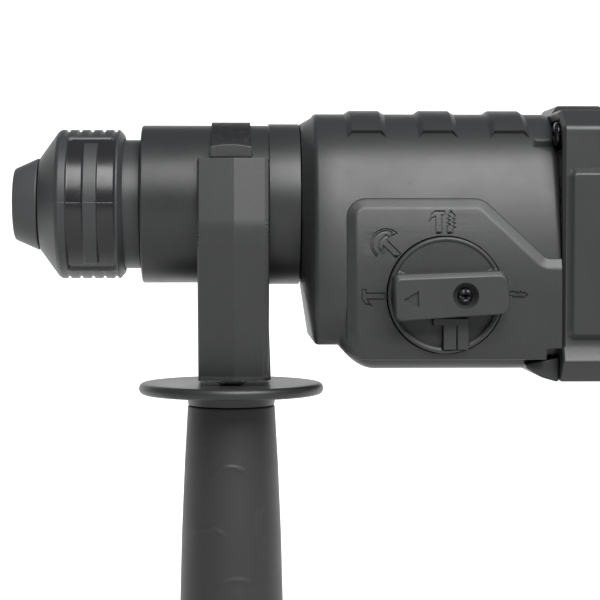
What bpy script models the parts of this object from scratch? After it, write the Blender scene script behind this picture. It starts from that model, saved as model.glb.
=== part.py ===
"""Rotary hammer with a keyless chuck, a clamp-on side handle and a rear D-handle.

The origin is the flat front face of the anvil, where the end of a bit's shank rests. +X runs
back along the spindle, -Y is the tool's left side, which carries the mode selector, and +Z is up.
"""

import math

import bmesh
import bpy
from mathutils import Matrix, Vector

# The gap between neighbouring pieces
GAP = 0.0003

# Chuck
NOSE_X = -0.055
NOSE_RADIUS = 0.0112
CAP_REAR_X = -0.0471
CAP_REAR_RADIUS = 0.0147
SLEEVE_FRONT_X = -0.0467
SLEEVE_REAR_X = -0.0201
SLEEVE_RADIUS = 0.0237
CARRIER_RADIUS = 0.0204
SHANK_BORE = 0.0051
HOLDER_RADIUS = 0.0088

# Spindle neck, which the side handle clamps
NECK_FRONT_X = -0.0146
NECK_RADIUS = 0.025
NECK_RING_X = 0.0253
NECK_RING_RADIUS = 0.0255
NECK_REAR_X = 0.035

# Gear housing
HOUSING_FACE_X = 0.0394
HOUSING_REAR_X = 0.1133
HOUSING_TOP = 0.0288
HOUSING_REAR_TOP = 0.0281
HOUSING_NOSE_BOTTOM = -0.0444
HOUSING_BOTTOM = -0.0518
HOUSING_HALF_WIDTH = 0.035
HOUSING_WALL = 0.003
LUG_BOTTOM = -0.0567
BOSS_Y = -0.038
BOTTOM_CORNER = 0.016
TOP_CORNER = 0.022
BRIDGE_HALF_WIDTH = 0.0297
BRIDGE_TOP_CORNER = 0.0292
STEP_START_X = 0.0487
STEP_END_X = 0.0596
RIB_TOP = 0.0298
RIB_LENGTH = 0.0132
RIB_XS = (0.0553, 0.0774, 0.0995)

# Mode selector
DIAL_X = 0.078
DIAL_Z = -0.0278
DIAL_RADIUS = 0.0175
DIAL_FACE_Y = -0.0395
DIAL_BAR_Y = -0.0462

# Spindle, hammer and countershaft
SPINDLE_RADIUS = 0.0148
SPINDLE_REAR_X = 0.084
JOURNAL_RADIUS = 0.012
WOBBLE_X = 0.092
CROWN_RADIUS = 0.0099
GEAR_MODULE = 0.001
SPINDLE_TEETH = 44
SPINDLE_PINION_TEETH = 12
MOTOR_MODULE = 0.0008
COUNTER_TEETH = 40
MOTOR_TEETH = 8
MESH_CLEARANCE = 0.0003
COUNTER_Z = -((SPINDLE_TEETH + SPINDLE_PINION_TEETH) * GEAR_MODULE / 2 + MESH_CLEARANCE)
MOTOR_Z = COUNTER_Z + (COUNTER_TEETH + MOTOR_TEETH) * MOTOR_MODULE / 2 + MESH_CLEARANCE

# Motor housing and D-handle
MOTOR_FRONT_X = 0.1136
MOTOR_REAR_X = 0.218
MOTOR_HALF_WIDTH = 0.038
HANDLE_FRONT_X = 0.2183
HANDLE_HALF_WIDTH = 0.0155
HANDLE_WALL = 0.003

# Side handle
YOKE_X = 0.0135
YOKE_WIDTH = 0.0215
YOKE_FOOT_WIDTH = 0.0254
YOKE_SIDE = 0.031
YOKE_LEG_TOP = 0.0138
YOKE_BOTTOM = -0.0552
BAND_WIDTH = 0.0122
BAND_INNER = 0.0253
BAND_OUTER = 0.0263
GUARD_TOP = -0.0569
GUARD_THICKNESS = 0.0036
GUARD_RADIUS = 0.0295
GRIP_TOP = -0.0642
GRIP_BOTTOM = -0.182

# Finishes: base colour, roughness, metallic
BLACK_PLASTIC = ((0.055, 0.056, 0.058), 0.5, 0.0)
GREY_PLASTIC = ((0.075, 0.076, 0.08), 0.45, 0.0)
DARK_RUBBER = ((0.03, 0.03, 0.032), 0.75, 0.0)
CAP_RUBBER = ((0.09, 0.09, 0.095), 0.6, 0.0)
BLACK_STEEL = ((0.02, 0.02, 0.022), 0.3, 0.9)
BRIGHT_STEEL = ((0.55, 0.55, 0.56), 0.3, 1.0)
GROUND_STEEL = ((0.42, 0.42, 0.44), 0.38, 1.0)
CAST_ALUMINIUM = ((0.6, 0.6, 0.61), 0.5, 1.0)
COPPER = ((0.62, 0.3, 0.16), 0.4, 1.0)
CARBON = ((0.05, 0.05, 0.055), 0.7, 0.2)
IVORY_PLASTIC = ((0.55, 0.52, 0.44), 0.5, 0.0)
RED_PLASTIC = ((0.35, 0.03, 0.025), 0.45, 0.0)


def clear_scene():
    for obj in list(bpy.data.objects):
        bpy.data.objects.remove(obj)


def add_collection(name):
    made = bpy.data.collections.new(name)
    bpy.context.scene.collection.children.link(made)
    return made


clear_scene()
PARTS = add_collection("rotary_hammer")
CUTTERS = add_collection("rotary_hammer_cutters")


def finish_material(name, finish):
    colour, roughness, metallic = finish
    material = bpy.data.materials.new(name + "_finish")
    material.use_nodes = True
    shader = material.node_tree.nodes["Principled BSDF"]
    shader.inputs["Base Color"].default_value = (*colour, 1)
    shader.inputs["Roughness"].default_value = roughness
    shader.inputs["Metallic"].default_value = metallic
    return material


def add_piece(name, mesh, finish):
    """A part with its own material or, where there is no finish, a hidden cutter."""
    piece = bpy.data.objects.new(name, mesh)
    if finish is None:
        CUTTERS.objects.link(piece)
        piece.hide_render = True
        piece.display_type = "WIRE"
    else:
        PARTS.objects.link(piece)
        mesh.materials.append(finish_material(name, finish))
    return piece


def set_origin(piece, origin):
    """Moves a piece's origin onto its joint axis and leaves the piece where it is."""
    piece.data.transform(Matrix.Translation(-Vector(origin)))
    piece.location = origin
    return piece


def boolean(piece, other, operation="DIFFERENCE"):
    modifier = piece.modifiers.new(operation.title(), "BOOLEAN")
    modifier.operation = operation
    modifier.object = other
    modifier.solver = "EXACT"


def cut(piece, *cutters):
    for cutter in cutters:
        boolean(piece, cutter)
    return piece


def join(piece, *others):
    for other in others:
        boolean(piece, other, "UNION")
    return piece


def round_edges(piece, width, segments=2, angle=35):
    modifier = piece.modifiers.new("Bevel", "BEVEL")
    modifier.width = width
    modifier.segments = segments
    modifier.limit_method = "ANGLE"
    modifier.angle_limit = math.radians(angle)
    return piece


def turned(name, finish, profile, axis="X", place=(0, 0, 0), steps=24):
    """A solid of revolution about a line through place.

    The profile is (place along the axis, radius), down the outside first, then back up the
    bore if it has one. It starts at the nose on X, at the left side on Y, and at the top on Z.
    """
    sense = 1 if axis == "Z" else -1
    points = [(radius, 0, sense * along) for along, radius in profile]
    edges = [(i, i + 1) for i in range(len(points) - 1)]
    if profile[0][1] > 0:
        edges.append((len(points) - 1, 0))
    mesh = bpy.data.meshes.new(name)
    mesh.from_pydata(points, edges, [])
    piece = add_piece(name, mesh, finish)
    piece.rotation_euler = {
        "X": (0, -math.pi / 2, 0),
        "Y": (math.pi / 2, 0, 0),
        "Z": (0, 0, 0),
    }[axis]
    piece.location = place
    screw = piece.modifiers.new("Screw", "SCREW")
    screw.steps = screw.render_steps = steps
    screw.use_merge_vertices = True
    screw.merge_threshold = 0.00001
    return piece


def block(name, finish, low, high, bevel=0):
    mesh = bpy.data.meshes.new(name)
    shape = bmesh.new()
    bmesh.ops.create_cube(shape, size=1)
    size = Vector(high) - Vector(low)
    middle = (Vector(high) + Vector(low)) / 2
    shape.transform(Matrix.Translation(middle) @ Matrix.Diagonal((*size, 1)))
    shape.to_mesh(mesh)
    shape.free()
    piece = add_piece(name, mesh, finish)
    if bevel:
        round_edges(piece, bevel)
    return piece


def plate(name, finish, outlines, low, high, plane):
    """A flat shape from closed outlines, given thickness between low and high.

    On plane XZ the outline is (x, z) and the thickness runs along Y, and on YZ it is (y, z)
    and X. An outline inside another is a hole.
    """
    curve = bpy.data.curves.new(name, "CURVE")
    curve.dimensions = "2D"
    curve.fill_mode = "BOTH"
    curve.extrude = (high - low) / 2
    for outline in outlines:
        spline = curve.splines.new("POLY")
        spline.points.add(len(outline) - 1)
        for point, (u, v) in zip(spline.points, outline):
            point.co = (u, v, 0, 1)
        spline.use_cyclic_u = True
    drawn = bpy.data.objects.new(name + "_outline", curve)
    CUTTERS.objects.link(drawn)
    middle = (low + high) / 2
    drawn.matrix_world = {
        "XZ": Matrix(((1, 0, 0, 0), (0, 0, -1, middle), (0, 1, 0, 0), (0, 0, 0, 1))),
        "YZ": Matrix(((0, 0, 1, middle), (1, 0, 0, 0), (0, 1, 0, 0), (0, 0, 0, 1))),
    }[plane]
    return add_piece(name, mesh_of(drawn), finish)


def mesh_of(curve_object):
    """The mesh of a curve object, in world coordinates, with its caps welded on."""
    bpy.context.view_layer.update()
    graph = bpy.context.evaluated_depsgraph_get()
    mesh = bpy.data.meshes.new_from_object(curve_object.evaluated_get(graph))
    mesh.transform(curve_object.matrix_world)
    bpy.data.objects.remove(curve_object)
    shape = bmesh.new()
    shape.from_mesh(mesh)
    bmesh.ops.remove_doubles(shape, verts=shape.verts, dist=0.000001)
    bmesh.ops.recalc_face_normals(shape, faces=shape.faces)
    shape.to_mesh(mesh)
    shape.free()
    mesh.materials.clear()
    return mesh


def loft(name, finish, sections):
    """A closed skin through (x, outline in Y and Z) sections, all with as many points."""
    shape = bmesh.new()
    rings = [[shape.verts.new((x, y, z)) for y, z in outline] for x, outline in sections]
    for ring, following in zip(rings, rings[1:]):
        for i in range(len(ring)):
            j = (i + 1) % len(ring)
            shape.faces.new((ring[i], ring[j], following[j], following[i]))
    shape.faces.new(reversed(rings[0]))
    shape.faces.new(rings[-1])
    bmesh.ops.recalc_face_normals(shape, faces=shape.faces)
    mesh = bpy.data.meshes.new(name)
    shape.to_mesh(mesh)
    shape.free()
    return add_piece(name, mesh, finish)


def arc(centre, radius, start, end, steps):
    """Points on an arc from the start angle to the end angle, in degrees."""
    turns = [math.radians(start + (end - start) * i / steps) for i in range(steps + 1)]
    return [(centre[0] + radius * math.cos(a), centre[1] + radius * math.sin(a)) for a in turns]


def circle(centre, radius, steps=20):
    return arc(centre, radius, 0, 360, steps)[:-1]


def rounded_box(left, right, bottom, top, low_radius, high_radius, steps=5):
    """An upright outline with one corner radius at the bottom and another at the top."""
    points = arc((right - high_radius, top - high_radius), high_radius, 0, 90, steps)
    points += arc((left + high_radius, top - high_radius), high_radius, 90, 180, steps)
    points += arc((left + low_radius, bottom + low_radius), low_radius, 180, 270, steps)
    return points + arc((right - low_radius, bottom + low_radius), low_radius, 270, 360, steps)


def rounded_corners(corners, steps=3):
    """A closed convex outline through (u, v, radius) corners, each rounded to its radius."""
    points = []
    for i, (u, v, radius) in enumerate(corners):
        here = Vector((u, v))
        before = (Vector(corners[i - 1][:2]) - here).normalized()
        after = (Vector(corners[(i + 1) % len(corners)][:2]) - here).normalized()
        half_angle = before.angle(after) / 2
        reach = radius / math.tan(half_angle)
        centre = here + (before + after).normalized() * (radius / math.sin(half_angle))
        start = here + before * reach - centre
        end = here + after * reach - centre
        turn = math.atan2(start.cross(end), start.dot(end))
        for step in range(steps + 1):
            spoke = Matrix.Rotation(turn * step / steps, 2) @ start
            points.append(tuple(centre + spoke))
    return points


def smooth_step(value):
    return value * value * (3 - 2 * value)


def toothed_outline(teeth, module, centre, first_angle):
    """A spur gear's outline with straight flanks, thin enough to run with some backlash."""
    pitch = teeth * module / 2
    root, tip = pitch - 1.15 * module, pitch + 0.85 * module
    half_tooth = 0.42 * math.pi / teeth * pitch
    corners = ((root, -1.25), (tip, -0.45), (tip, 0.45), (root, 1.25))
    points = []
    for tooth in range(teeth):
        middle = first_angle + 2 * math.pi * tooth / teeth
        for radius, share in corners:
            angle = middle + share * half_tooth / radius
            points.append(
                (centre[0] + radius * math.cos(angle), centre[1] + radius * math.sin(angle))
            )
    return points


def coil(name, finish, start_x, end_x, radius, wire, turns, steps=10):
    """A compression spring about the X axis."""
    curve = bpy.data.curves.new(name, "CURVE")
    curve.dimensions = "3D"
    curve.bevel_depth = wire / 2
    curve.bevel_resolution = 1
    curve.use_fill_caps = True
    spline = curve.splines.new("POLY")
    count = turns * steps + 1
    spline.points.add(count - 1)
    for i, point in enumerate(spline.points):
        angle = 2 * math.pi * i / steps
        x = start_x + wire / 2 + (end_x - start_x - wire) * i / (count - 1)
        point.co = (x, radius * math.cos(angle), radius * math.sin(angle), 1)
    drawn = bpy.data.objects.new(name + "_wire", curve)
    CUTTERS.objects.link(drawn)
    return add_piece(name, mesh_of(drawn), finish)


# ---------------------------------------------------------------- chuck and spindle


def make_dust_cap():
    turned("dust_cap", CAP_RUBBER, [
        (NOSE_X, 0.0104),
        (NOSE_X + 0.0008, NOSE_RADIUS + 0.0003),
        (CAP_REAR_X, CAP_REAR_RADIUS),
        (CAP_REAR_X, HOLDER_RADIUS + GAP),
        (-0.0518, HOLDER_RADIUS + GAP),
        (-0.0518, SHANK_BORE + 0.0006),
        (NOSE_X, SHANK_BORE + 0.0006),
    ], steps=28)


def make_locking_sleeve():
    turned("locking_sleeve", BLACK_PLASTIC, [
        (SLEEVE_FRONT_X, 0.0149),
        (-0.0408, 0.0230),
        (-0.0400, SLEEVE_RADIUS),
        (-0.0218, SLEEVE_RADIUS),
        (SLEEVE_REAR_X, 0.0220),
        (SLEEVE_REAR_X, CARRIER_RADIUS + 0.0005),
        (-0.0370, CARRIER_RADIUS + 0.0005),
        (-0.0400, 0.0145),
        (-0.0400, 0.0125),
        (SLEEVE_FRONT_X, 0.0125),
    ], steps=36)


def make_sleeve_carrier():
    """The rear collar of the chuck, fixed to the spindle. The sleeve slides over it."""
    turned("sleeve_carrier", BLACK_PLASTIC, [
        (-0.0300, CARRIER_RADIUS),
        (-0.0149, CARRIER_RADIUS),
        (-0.0149, JOURNAL_RADIUS + GAP),
        (-0.0175, JOURNAL_RADIUS + GAP),
        (-0.0175, 0.0185),
        (-0.0300, 0.0185),
    ], steps=28)


def make_spindle():
    """Tool holder in front, hammer tube behind, with a slot for the locking ball on top."""
    spindle = turned("spindle", GROUND_STEEL, [
        (-0.0515, 0.0080),
        (-0.0507, HOLDER_RADIUS),
        (-0.0330, HOLDER_RADIUS),
        (-0.0330, JOURNAL_RADIUS),
        (0.0060, JOURNAL_RADIUS),
        (0.0060, SPINDLE_RADIUS),
        (SPINDLE_REAR_X, SPINDLE_RADIUS),
        (SPINDLE_REAR_X, 0.0125),
        (0.0280, 0.0125),
        (0.0280, 0.0086),
        (-0.0015, 0.0086),
        (-0.0030, SHANK_BORE),
        (-0.0515, SHANK_BORE),
    ])
    slot = turned("ball_slot", None, [(0.0120, 0), (0.0120, 0.0034), (0, 0.0034), (0, 0)],
                  axis="Z", place=(-0.038, 0, 0), steps=12)
    cut(spindle, slot)


def make_locking_ball():
    ball_radius = 0.0030
    mesh = bpy.data.meshes.new("locking_ball")
    shape = bmesh.new()
    bmesh.ops.create_uvsphere(shape, u_segments=12, v_segments=8, radius=ball_radius)
    shape.to_mesh(mesh)
    shape.free()
    ball = add_piece("locking_ball", mesh, BRIGHT_STEEL)
    ball.location = (-0.038, 0, 0.0080)


def make_sleeve_spring():
    coil("sleeve_spring", BRIGHT_STEEL, -0.0300, -0.0178, 0.0152, 0.0014, turns=4)


def make_neck():
    """The clamping neck and the ring behind it, one casting bolted to the gear housing."""
    turned("spindle_neck", GREY_PLASTIC, [
        (NECK_FRONT_X, NECK_RADIUS - 0.0007),
        (NECK_FRONT_X + 0.0007, NECK_RADIUS),
        (NECK_RING_X, NECK_RADIUS),
        (NECK_RING_X, NECK_RING_RADIUS),
        (NECK_REAR_X, NECK_RING_RADIUS),
        (NECK_REAR_X, 0.0220),
        (0.0055, 0.0220),
        (0.0055, 0.0200),
        (-0.0126, 0.0200),
        (-0.0126, 0.0170),
        (NECK_FRONT_X, 0.0170),
    ], steps=36)


def make_ring(name, finish, front, rear, inner, outer, height=0.0, steps=20):
    """A seal, bearing or bush: a plain ring about the X axis at some height."""
    return turned(name, finish, [
        (front, outer), (rear, outer), (rear, inner), (front, inner),
    ], place=(0, 0, height), steps=steps)


def make_spindle_bearings():
    inner = JOURNAL_RADIUS + GAP
    make_ring("oil_seal", DARK_RUBBER, -0.0122, -0.0066, inner, 0.0197)
    make_ring("front_bearing", BRIGHT_STEEL, -0.0062, 0.0050, inner, 0.0197)
    make_ring("spindle_rear_bearing", BRIGHT_STEEL, 0.0750, 0.0830,
              SPINDLE_RADIUS + GAP, 0.0195)


# ---------------------------------------------------------------- hammer mechanism


def make_anvil():
    """The impact bolt. Its flat front face is the origin and takes the bit's shank."""
    turned("anvil", GROUND_STEEL, [
        (0, 0), (0, 0.0044), (0.0005, 0.0048), (0.0008, 0.0048), (0.0030, 0.0080),
        (0.0210, 0.0080), (0.0210, 0.0050), (0.0300, 0.0050), (0.0300, 0),
    ], steps=20)


def make_striker():
    turned("striker", GROUND_STEEL, [
        (0.0480, 0), (0.0480, 0.0050), (0.0500, 0.0095), (0.0680, 0.0095), (0.0680, 0),
    ], steps=20)


def make_piston():
    """A hollow piston, open to the front. Its clevis and cross pin take the wobble finger."""
    piston = turned("piston", CAST_ALUMINIUM, [
        (0.0430, 0), (0.0430, 0.0122), (0.0790, 0.0122), (0.0790, 0.0105), (0.0990, 0.0105),
        (0.0990, 0),
    ], steps=20)
    hollow = turned("piston_hollow", None, [
        (0.0400, 0), (0.0400, 0.0098), (0.0770, 0.0098), (0.0770, 0),
    ], steps=20)
    clevis_slot = block("clevis_slot", None, (0.0850, -0.0046, -0.020), (0.1000, 0.0046, 0.020))
    cross_pin = turned("cross_pin", None, [
        (-0.0080, 0), (-0.0080, 0.0019), (0.0080, 0.0019), (0.0080, 0),
    ], axis="Y", place=(WOBBLE_X, 0, 0), steps=12)
    cut(piston, hollow, clevis_slot)
    join(piston, cross_pin)


def make_spindle_gear():
    """The large gear on the hammer tube and the overload clutch's spring behind it."""
    gap_down = -math.pi / 2 + math.pi / SPINDLE_TEETH
    plate("spindle_gear", GROUND_STEEL, [
        toothed_outline(SPINDLE_TEETH, GEAR_MODULE, (0, 0), gap_down),
        circle((0, 0), SPINDLE_RADIUS + GAP),
    ], 0.0540, 0.0620, "YZ")
    coil("clutch_spring", BRIGHT_STEEL, 0.0623, 0.0740, 0.0167, 0.0024, turns=3)


def make_countershaft():
    """The lower shaft: its pinion turns the spindle, and its rear gear meets the motor."""
    centre = (0, COUNTER_Z)
    shaft = turned("countershaft", GROUND_STEEL, [
        (0.0445, 0), (0.0445, 0.0040), (0.1240, 0.0040), (0.1240, 0),
    ], place=(0, 0, COUNTER_Z), steps=16)
    pinion = plate("countershaft_pinion", None, [
        toothed_outline(SPINDLE_PINION_TEETH, GEAR_MODULE, centre, math.pi / 2),
    ], 0.0530, 0.0630, "YZ")
    join(shaft, pinion)
    gap_up = math.pi / 2 + math.pi / COUNTER_TEETH
    gear = plate("countershaft_gear", GROUND_STEEL, [
        toothed_outline(COUNTER_TEETH, MOTOR_MODULE, centre, gap_up),
        circle(centre, 0.0040 + GAP, 20),
    ], 0.1085, 0.1150, "YZ")
    set_origin(gear, (0, 0, COUNTER_Z))
    for name, front, rear in (("front", 0.0440, 0.0500), ("rear", 0.1180, 0.1240)):
        make_ring(f"countershaft_{name}_bearing", BRIGHT_STEEL, front, rear,
                  0.0040 + GAP, 0.0080, COUNTER_Z, 20)


def make_wobble_drive():
    """A crowned hub on the countershaft, and the ring round it whose finger drives the piston."""
    centre = (WOBBLE_X, 0, COUNTER_Z)
    crown = [(CROWN_RADIUS * math.sin(a), CROWN_RADIUS * math.cos(a))
             for a in (math.radians(-40 + 16 * i) for i in range(6))]
    hub = turned("wobble_hub", GROUND_STEEL, [(crown[0][0], 0), *crown, (crown[-1][0], 0)],
                 place=centre, steps=20)
    bore = turned("wobble_bore", None, [
        (0.0700, 0), (0.0700, 0.0040 + GAP), (0.1070, 0.0040 + GAP), (0.1070, 0),
    ], place=(0, 0, COUNTER_Z), steps=16)
    cut(hub, bore)
    ring = turned("wobble_ring", BRIGHT_STEEL, [
        (-0.0035, 0.0135), (0.0035, 0.0135), (0.0035, 0.0103), (-0.0035, 0.0103),
    ], place=centre, steps=24)
    finger = turned("wobble_finger", None, [
        (-0.0010, 0), (-0.0010, 0.0026), (-0.0160, 0.0026), (-0.0160, 0),
    ], axis="Z", place=(WOBBLE_X, 0, 0), steps=12)
    eye = turned("finger_eye", None, [
        (-0.0040, 0), (-0.0040, 0.0045), (0.0040, 0.0045), (0.0040, 0),
    ], axis="Y", place=(WOBBLE_X, 0, 0), steps=16)
    eye_hole = turned("finger_eye_hole", None, [
        (-0.0060, 0), (-0.0060, 0.0028), (0.0060, 0.0028), (0.0060, 0),
    ], axis="Y", place=(WOBBLE_X, 0, 0), steps=16)
    join(ring, finger, eye)
    cut(ring, eye_hole)


# ---------------------------------------------------------------- housings


def body_section(half_width, bottom, top, inset=0.0):
    """The housings' section across the tool: a box with large corners, flat at the sides."""
    return rounded_box(-half_width + inset, half_width - inset, bottom + inset, top - inset,
                       BOTTOM_CORNER - inset, TOP_CORNER - inset)


def gear_housing_sections(inset, front_x, rear_x):
    """The bottom drops in a smooth step behind the housing's face."""
    step_length = STEP_END_X - STEP_START_X
    sections = []
    for x in (front_x, *[STEP_START_X + step_length * i / 4 for i in range(5)], rear_x):
        share = smooth_step(min(max((x - STEP_START_X) / step_length, 0), 1))
        bottom = HOUSING_NOSE_BOTTOM + (HOUSING_BOTTOM - HOUSING_NOSE_BOTTOM) * share
        back = (x - HOUSING_FACE_X) / (HOUSING_REAR_X - HOUSING_FACE_X)
        top = HOUSING_TOP + (HOUSING_REAR_TOP - HOUSING_TOP) * back
        sections.append((x, body_section(HOUSING_HALF_WIDTH, bottom, top, inset)))
    return sections


def make_gear_housing():
    collar = rounded_box(-NECK_RING_RADIUS, NECK_RING_RADIUS, -NECK_RING_RADIUS,
                         NECK_RING_RADIUS, 0.0254, 0.0254)
    housing = loft("gear_housing", BLACK_PLASTIC, [
        (NECK_REAR_X + GAP, collar),
        *gear_housing_sections(0, HOUSING_FACE_X, HOUSING_REAR_X),
    ])
    hollow = loft("gear_housing_hollow", None,
                  gear_housing_sections(HOUSING_WALL, 0.0432, HOUSING_REAR_X + 0.002))
    boss_corners = [(0.0478, -0.0420, 0.001), (0.1133, -0.0420, 0.0001),
                    (0.1133, -0.0167, 0.0001), (0.1064, -0.0167, 0.004),
                    (0.0870, 0.0014, 0.004), (0.0487, 0.0014, 0.004)]
    boss = plate("selector_boss", None, [rounded_corners(boss_corners)],
                 BOSS_Y, -HOUSING_HALF_WIDTH + 0.002, "XZ")
    half_rib = RIB_LENGTH / 2
    ribs = [block(f"top_rib_{i + 1}", None, (x - half_rib, -0.028, 0.0225),
                  (x + half_rib, 0.028, RIB_TOP))
            for i, x in enumerate(RIB_XS)]
    for rib in ribs:
        round_edges(rib, 0.006, 2)
    lug = block("rear_lug", None, (0.1083, -0.0330, LUG_BOTTOM), (HOUSING_REAR_X, 0.0330, -0.0500))
    bearing_boss = turned("bearing_boss", None, [
        (0.0400, 0), (0.0400, 0.0110), (0.0495, 0.0110), (0.0495, 0),
    ], place=(0, 0, COUNTER_Z), steps=20)
    bearing_seat = turned("bearing_seat", None, [
        (0.0437, 0), (0.0437, 0.0083), (0.0600, 0.0083), (0.0600, 0),
    ], place=(0, 0, COUNTER_Z), steps=20)
    spindle_hole = turned("spindle_hole", None, [
        (0.0300, 0), (0.0300, 0.0170), (0.0500, 0.0170), (0.0500, 0),
    ], steps=24)
    dial_recess = turned("dial_recess", None, [
        (-0.0450, 0), (-0.0450, DIAL_RADIUS + GAP), (-0.0335, DIAL_RADIUS + GAP),
        (-0.0335, 0.0075), (-0.0200, 0.0075), (-0.0200, 0),
    ], axis="Y", place=(DIAL_X, 0, DIAL_Z), steps=28)
    join(housing, boss, *ribs, lug)
    cut(housing, hollow)
    join(housing, bearing_boss)
    cut(housing, bearing_seat, spindle_hole, dial_recess, *flange_screw_holes("gear_housing"))


FLANGE_SCREWS = {
    "upper_left": (0.1116, -0.0280, 0.0211),
    "upper_right": (0.1116, 0.0280, 0.0211),
    "lower_left": (0.1098, -0.0270, -0.0480),
    "lower_right": (0.1098, 0.0270, -0.0480),
}


def rods(name, places, radius, low, high, axis="X", segments=12):
    """Like cylinders, cut or joined together. Each runs from low to high past its place."""
    turn = Matrix.Rotation(math.pi / 2, 4, "Y" if axis == "X" else "X")
    middle = (low + high) / 2
    shift = Vector((middle, 0, 0)) if axis == "X" else Vector((0, middle, 0))
    shape = bmesh.new()
    for place in places:
        bmesh.ops.create_cone(
            shape, cap_ends=True, segments=segments, radius1=radius, radius2=radius,
            depth=high - low, matrix=Matrix.Translation(Vector(place) + shift) @ turn)
    mesh = bpy.data.meshes.new(name)
    shape.to_mesh(mesh)
    shape.free()
    return add_piece(name, mesh, None)


def flange_screw_holes(housing):
    """Pockets for the four screws, whose heads face forwards at the corners of the joint."""
    places = FLANGE_SCREWS.values()
    return (rods(housing + "_head_pockets", places, 0.0042, -0.0200, 0.0026),
            rods(housing + "_shank_holes", places, 0.0022, 0.0010, 0.0200))


def make_flange_screws():
    for name, (x, y, z) in FLANGE_SCREWS.items():
        turned("flange_screw_" + name, BLACK_STEEL, [
            (x, 0), (x, 0.0035), (x + 0.0023, 0.0038), (x + 0.0023, 0.0019),
            (x + 0.0180, 0.0019), (x + 0.0180, 0),
        ], place=(0, y, z), steps=12)


def make_inner_plates():
    """The bridge behind the clutch carries the spindle, and the flange the two lower shafts."""
    inset = HOUSING_WALL + 0.0008
    bridge = rounded_box(-BRIDGE_HALF_WIDTH, BRIDGE_HALF_WIDTH, HOUSING_BOTTOM + inset,
                         HOUSING_REAR_TOP - inset, BOTTOM_CORNER - inset, BRIDGE_TOP_CORNER)
    plate("bearing_bridge", CAST_ALUMINIUM, [
        bridge, circle((0, 0), 0.0198, 28), circle((0, COUNTER_Z), 0.0070, 20),
    ], 0.0760, 0.0820, "YZ")
    flange = body_section(MOTOR_HALF_WIDTH, LUG_BOTTOM, 0.0285, HOUSING_WALL + 0.0085)
    plate("inner_flange", CAST_ALUMINIUM, [
        flange, circle((0, COUNTER_Z), 0.0083, 24), circle((0, MOTOR_Z), 0.0093, 24),
    ], 0.1175, 0.1245, "YZ")


def motor_housing_sections(inset, front_x, rear_x):
    return [
        (front_x, body_section(MOTOR_HALF_WIDTH, LUG_BOTTOM, 0.0285, inset)),
        (0.1335, body_section(MOTOR_HALF_WIDTH, LUG_BOTTOM, 0.0285, inset)),
        (0.1350, body_section(0.0368, -0.0530, 0.0275, inset)),
        (rear_x, body_section(0.0360, -0.0540, 0.0270, inset)),
    ]


def make_motor_housing():
    housing = loft("motor_housing", BLACK_PLASTIC,
                   motor_housing_sections(0, MOTOR_FRONT_X, MOTOR_REAR_X))
    hump = block("top_hump", None, (MOTOR_FRONT_X, -0.0130, 0.0200), (0.1310, 0.0130, 0.0307))
    pads = [plate(f"side_pad_{side}", None, [rounded_corners([
        (0.1163, -0.0413, 0.004), (0.2000, -0.0413, 0.010),
        (0.2100, 0.0104, 0.010), (0.1163, 0.0104, 0.004)])], low, high, "XZ")
        for side, low, high in (("left", -0.0395, -0.0340), ("right", 0.0340, 0.0395))]
    hollow = loft("motor_housing_hollow", None,
                  motor_housing_sections(HOUSING_WALL, MOTOR_FRONT_X - 0.002, 0.2118))
    bearing_hole = turned("rear_bearing_hole", None, [
        (0.2000, 0), (0.2000, 0.0098), (0.2300, 0.0098), (0.2300, 0),
    ], place=(0, 0, MOTOR_Z), steps=20)
    vents = [block(f"vent_{i + 1}", None, (x - 0.0012, -0.06, low), (x + 0.0012, 0.06, high))
             for i, (x, low, high) in enumerate(
                 [(0.1395 + 0.0048 * i, -0.0490, -0.0435) for i in range(5)]
                 + [(0.1880 + 0.0048 * i, 0.0125, 0.0190) for i in range(5)])]
    join(housing, hump, *pads)
    cut(housing, hollow, bearing_hole, *flange_screw_holes("motor_housing"), *vents)


# ---------------------------------------------------------------- motor


def make_motor():
    height = (0, 0, MOTOR_Z)
    shaft = turned("armature_shaft", GROUND_STEEL, [
        (0.1080, 0), (0.1080, 0.0020), (0.1165, 0.0020), (0.1170, 0.0040), (0.2176, 0.0040),
        (0.2176, 0),
    ], place=height, steps=16)
    pinion = plate("motor_pinion", None, [
        toothed_outline(MOTOR_TEETH, MOTOR_MODULE, (0, MOTOR_Z), -math.pi / 2),
    ], 0.1075, 0.1160, "YZ")
    join(shaft, pinion)
    bore = 0.0040 + GAP
    make_ring("armature_front_bearing", BRIGHT_STEEL, 0.1180, 0.1240, bore, 0.0090, MOTOR_Z, 16)
    make_ring("armature_rear_bearing", BRIGHT_STEEL, 0.2125, 0.2175, bore, 0.0095, MOTOR_Z, 16)
    make_ring("armature_core", GROUND_STEEL, 0.1500, 0.1880, bore, 0.0190, MOTOR_Z, 24)
    make_ring("commutator", COPPER, 0.1940, 0.2090, bore, 0.0128, MOTOR_Z, 24)
    make_ring("stator", GROUND_STEEL, 0.1470, 0.1900, 0.0202, 0.0318, MOTOR_Z, 24)
    make_fan()
    make_brushes()


def make_fan():
    fan = make_ring("cooling_fan", BLACK_PLASTIC, 0.1300, 0.1320, 0.0040 + GAP, 0.0295, MOTOR_Z, 24)
    shape = bmesh.new()
    blades = 10
    for i in range(blades):
        turn = Matrix.Rotation(2 * math.pi * i / blades, 4, "X")
        place = Matrix.Translation((0.1355, 0, 0.0190)) @ Matrix.Diagonal((0.0090, 0.0016, 0.0200, 1))
        bmesh.ops.create_cube(shape, size=1,
                              matrix=Matrix.Translation((0, 0, MOTOR_Z)) @ turn @ place)
    mesh = bpy.data.meshes.new("fan_blades")
    shape.to_mesh(mesh)
    shape.free()
    join(fan, add_piece("fan_blades", mesh, None))


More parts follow.
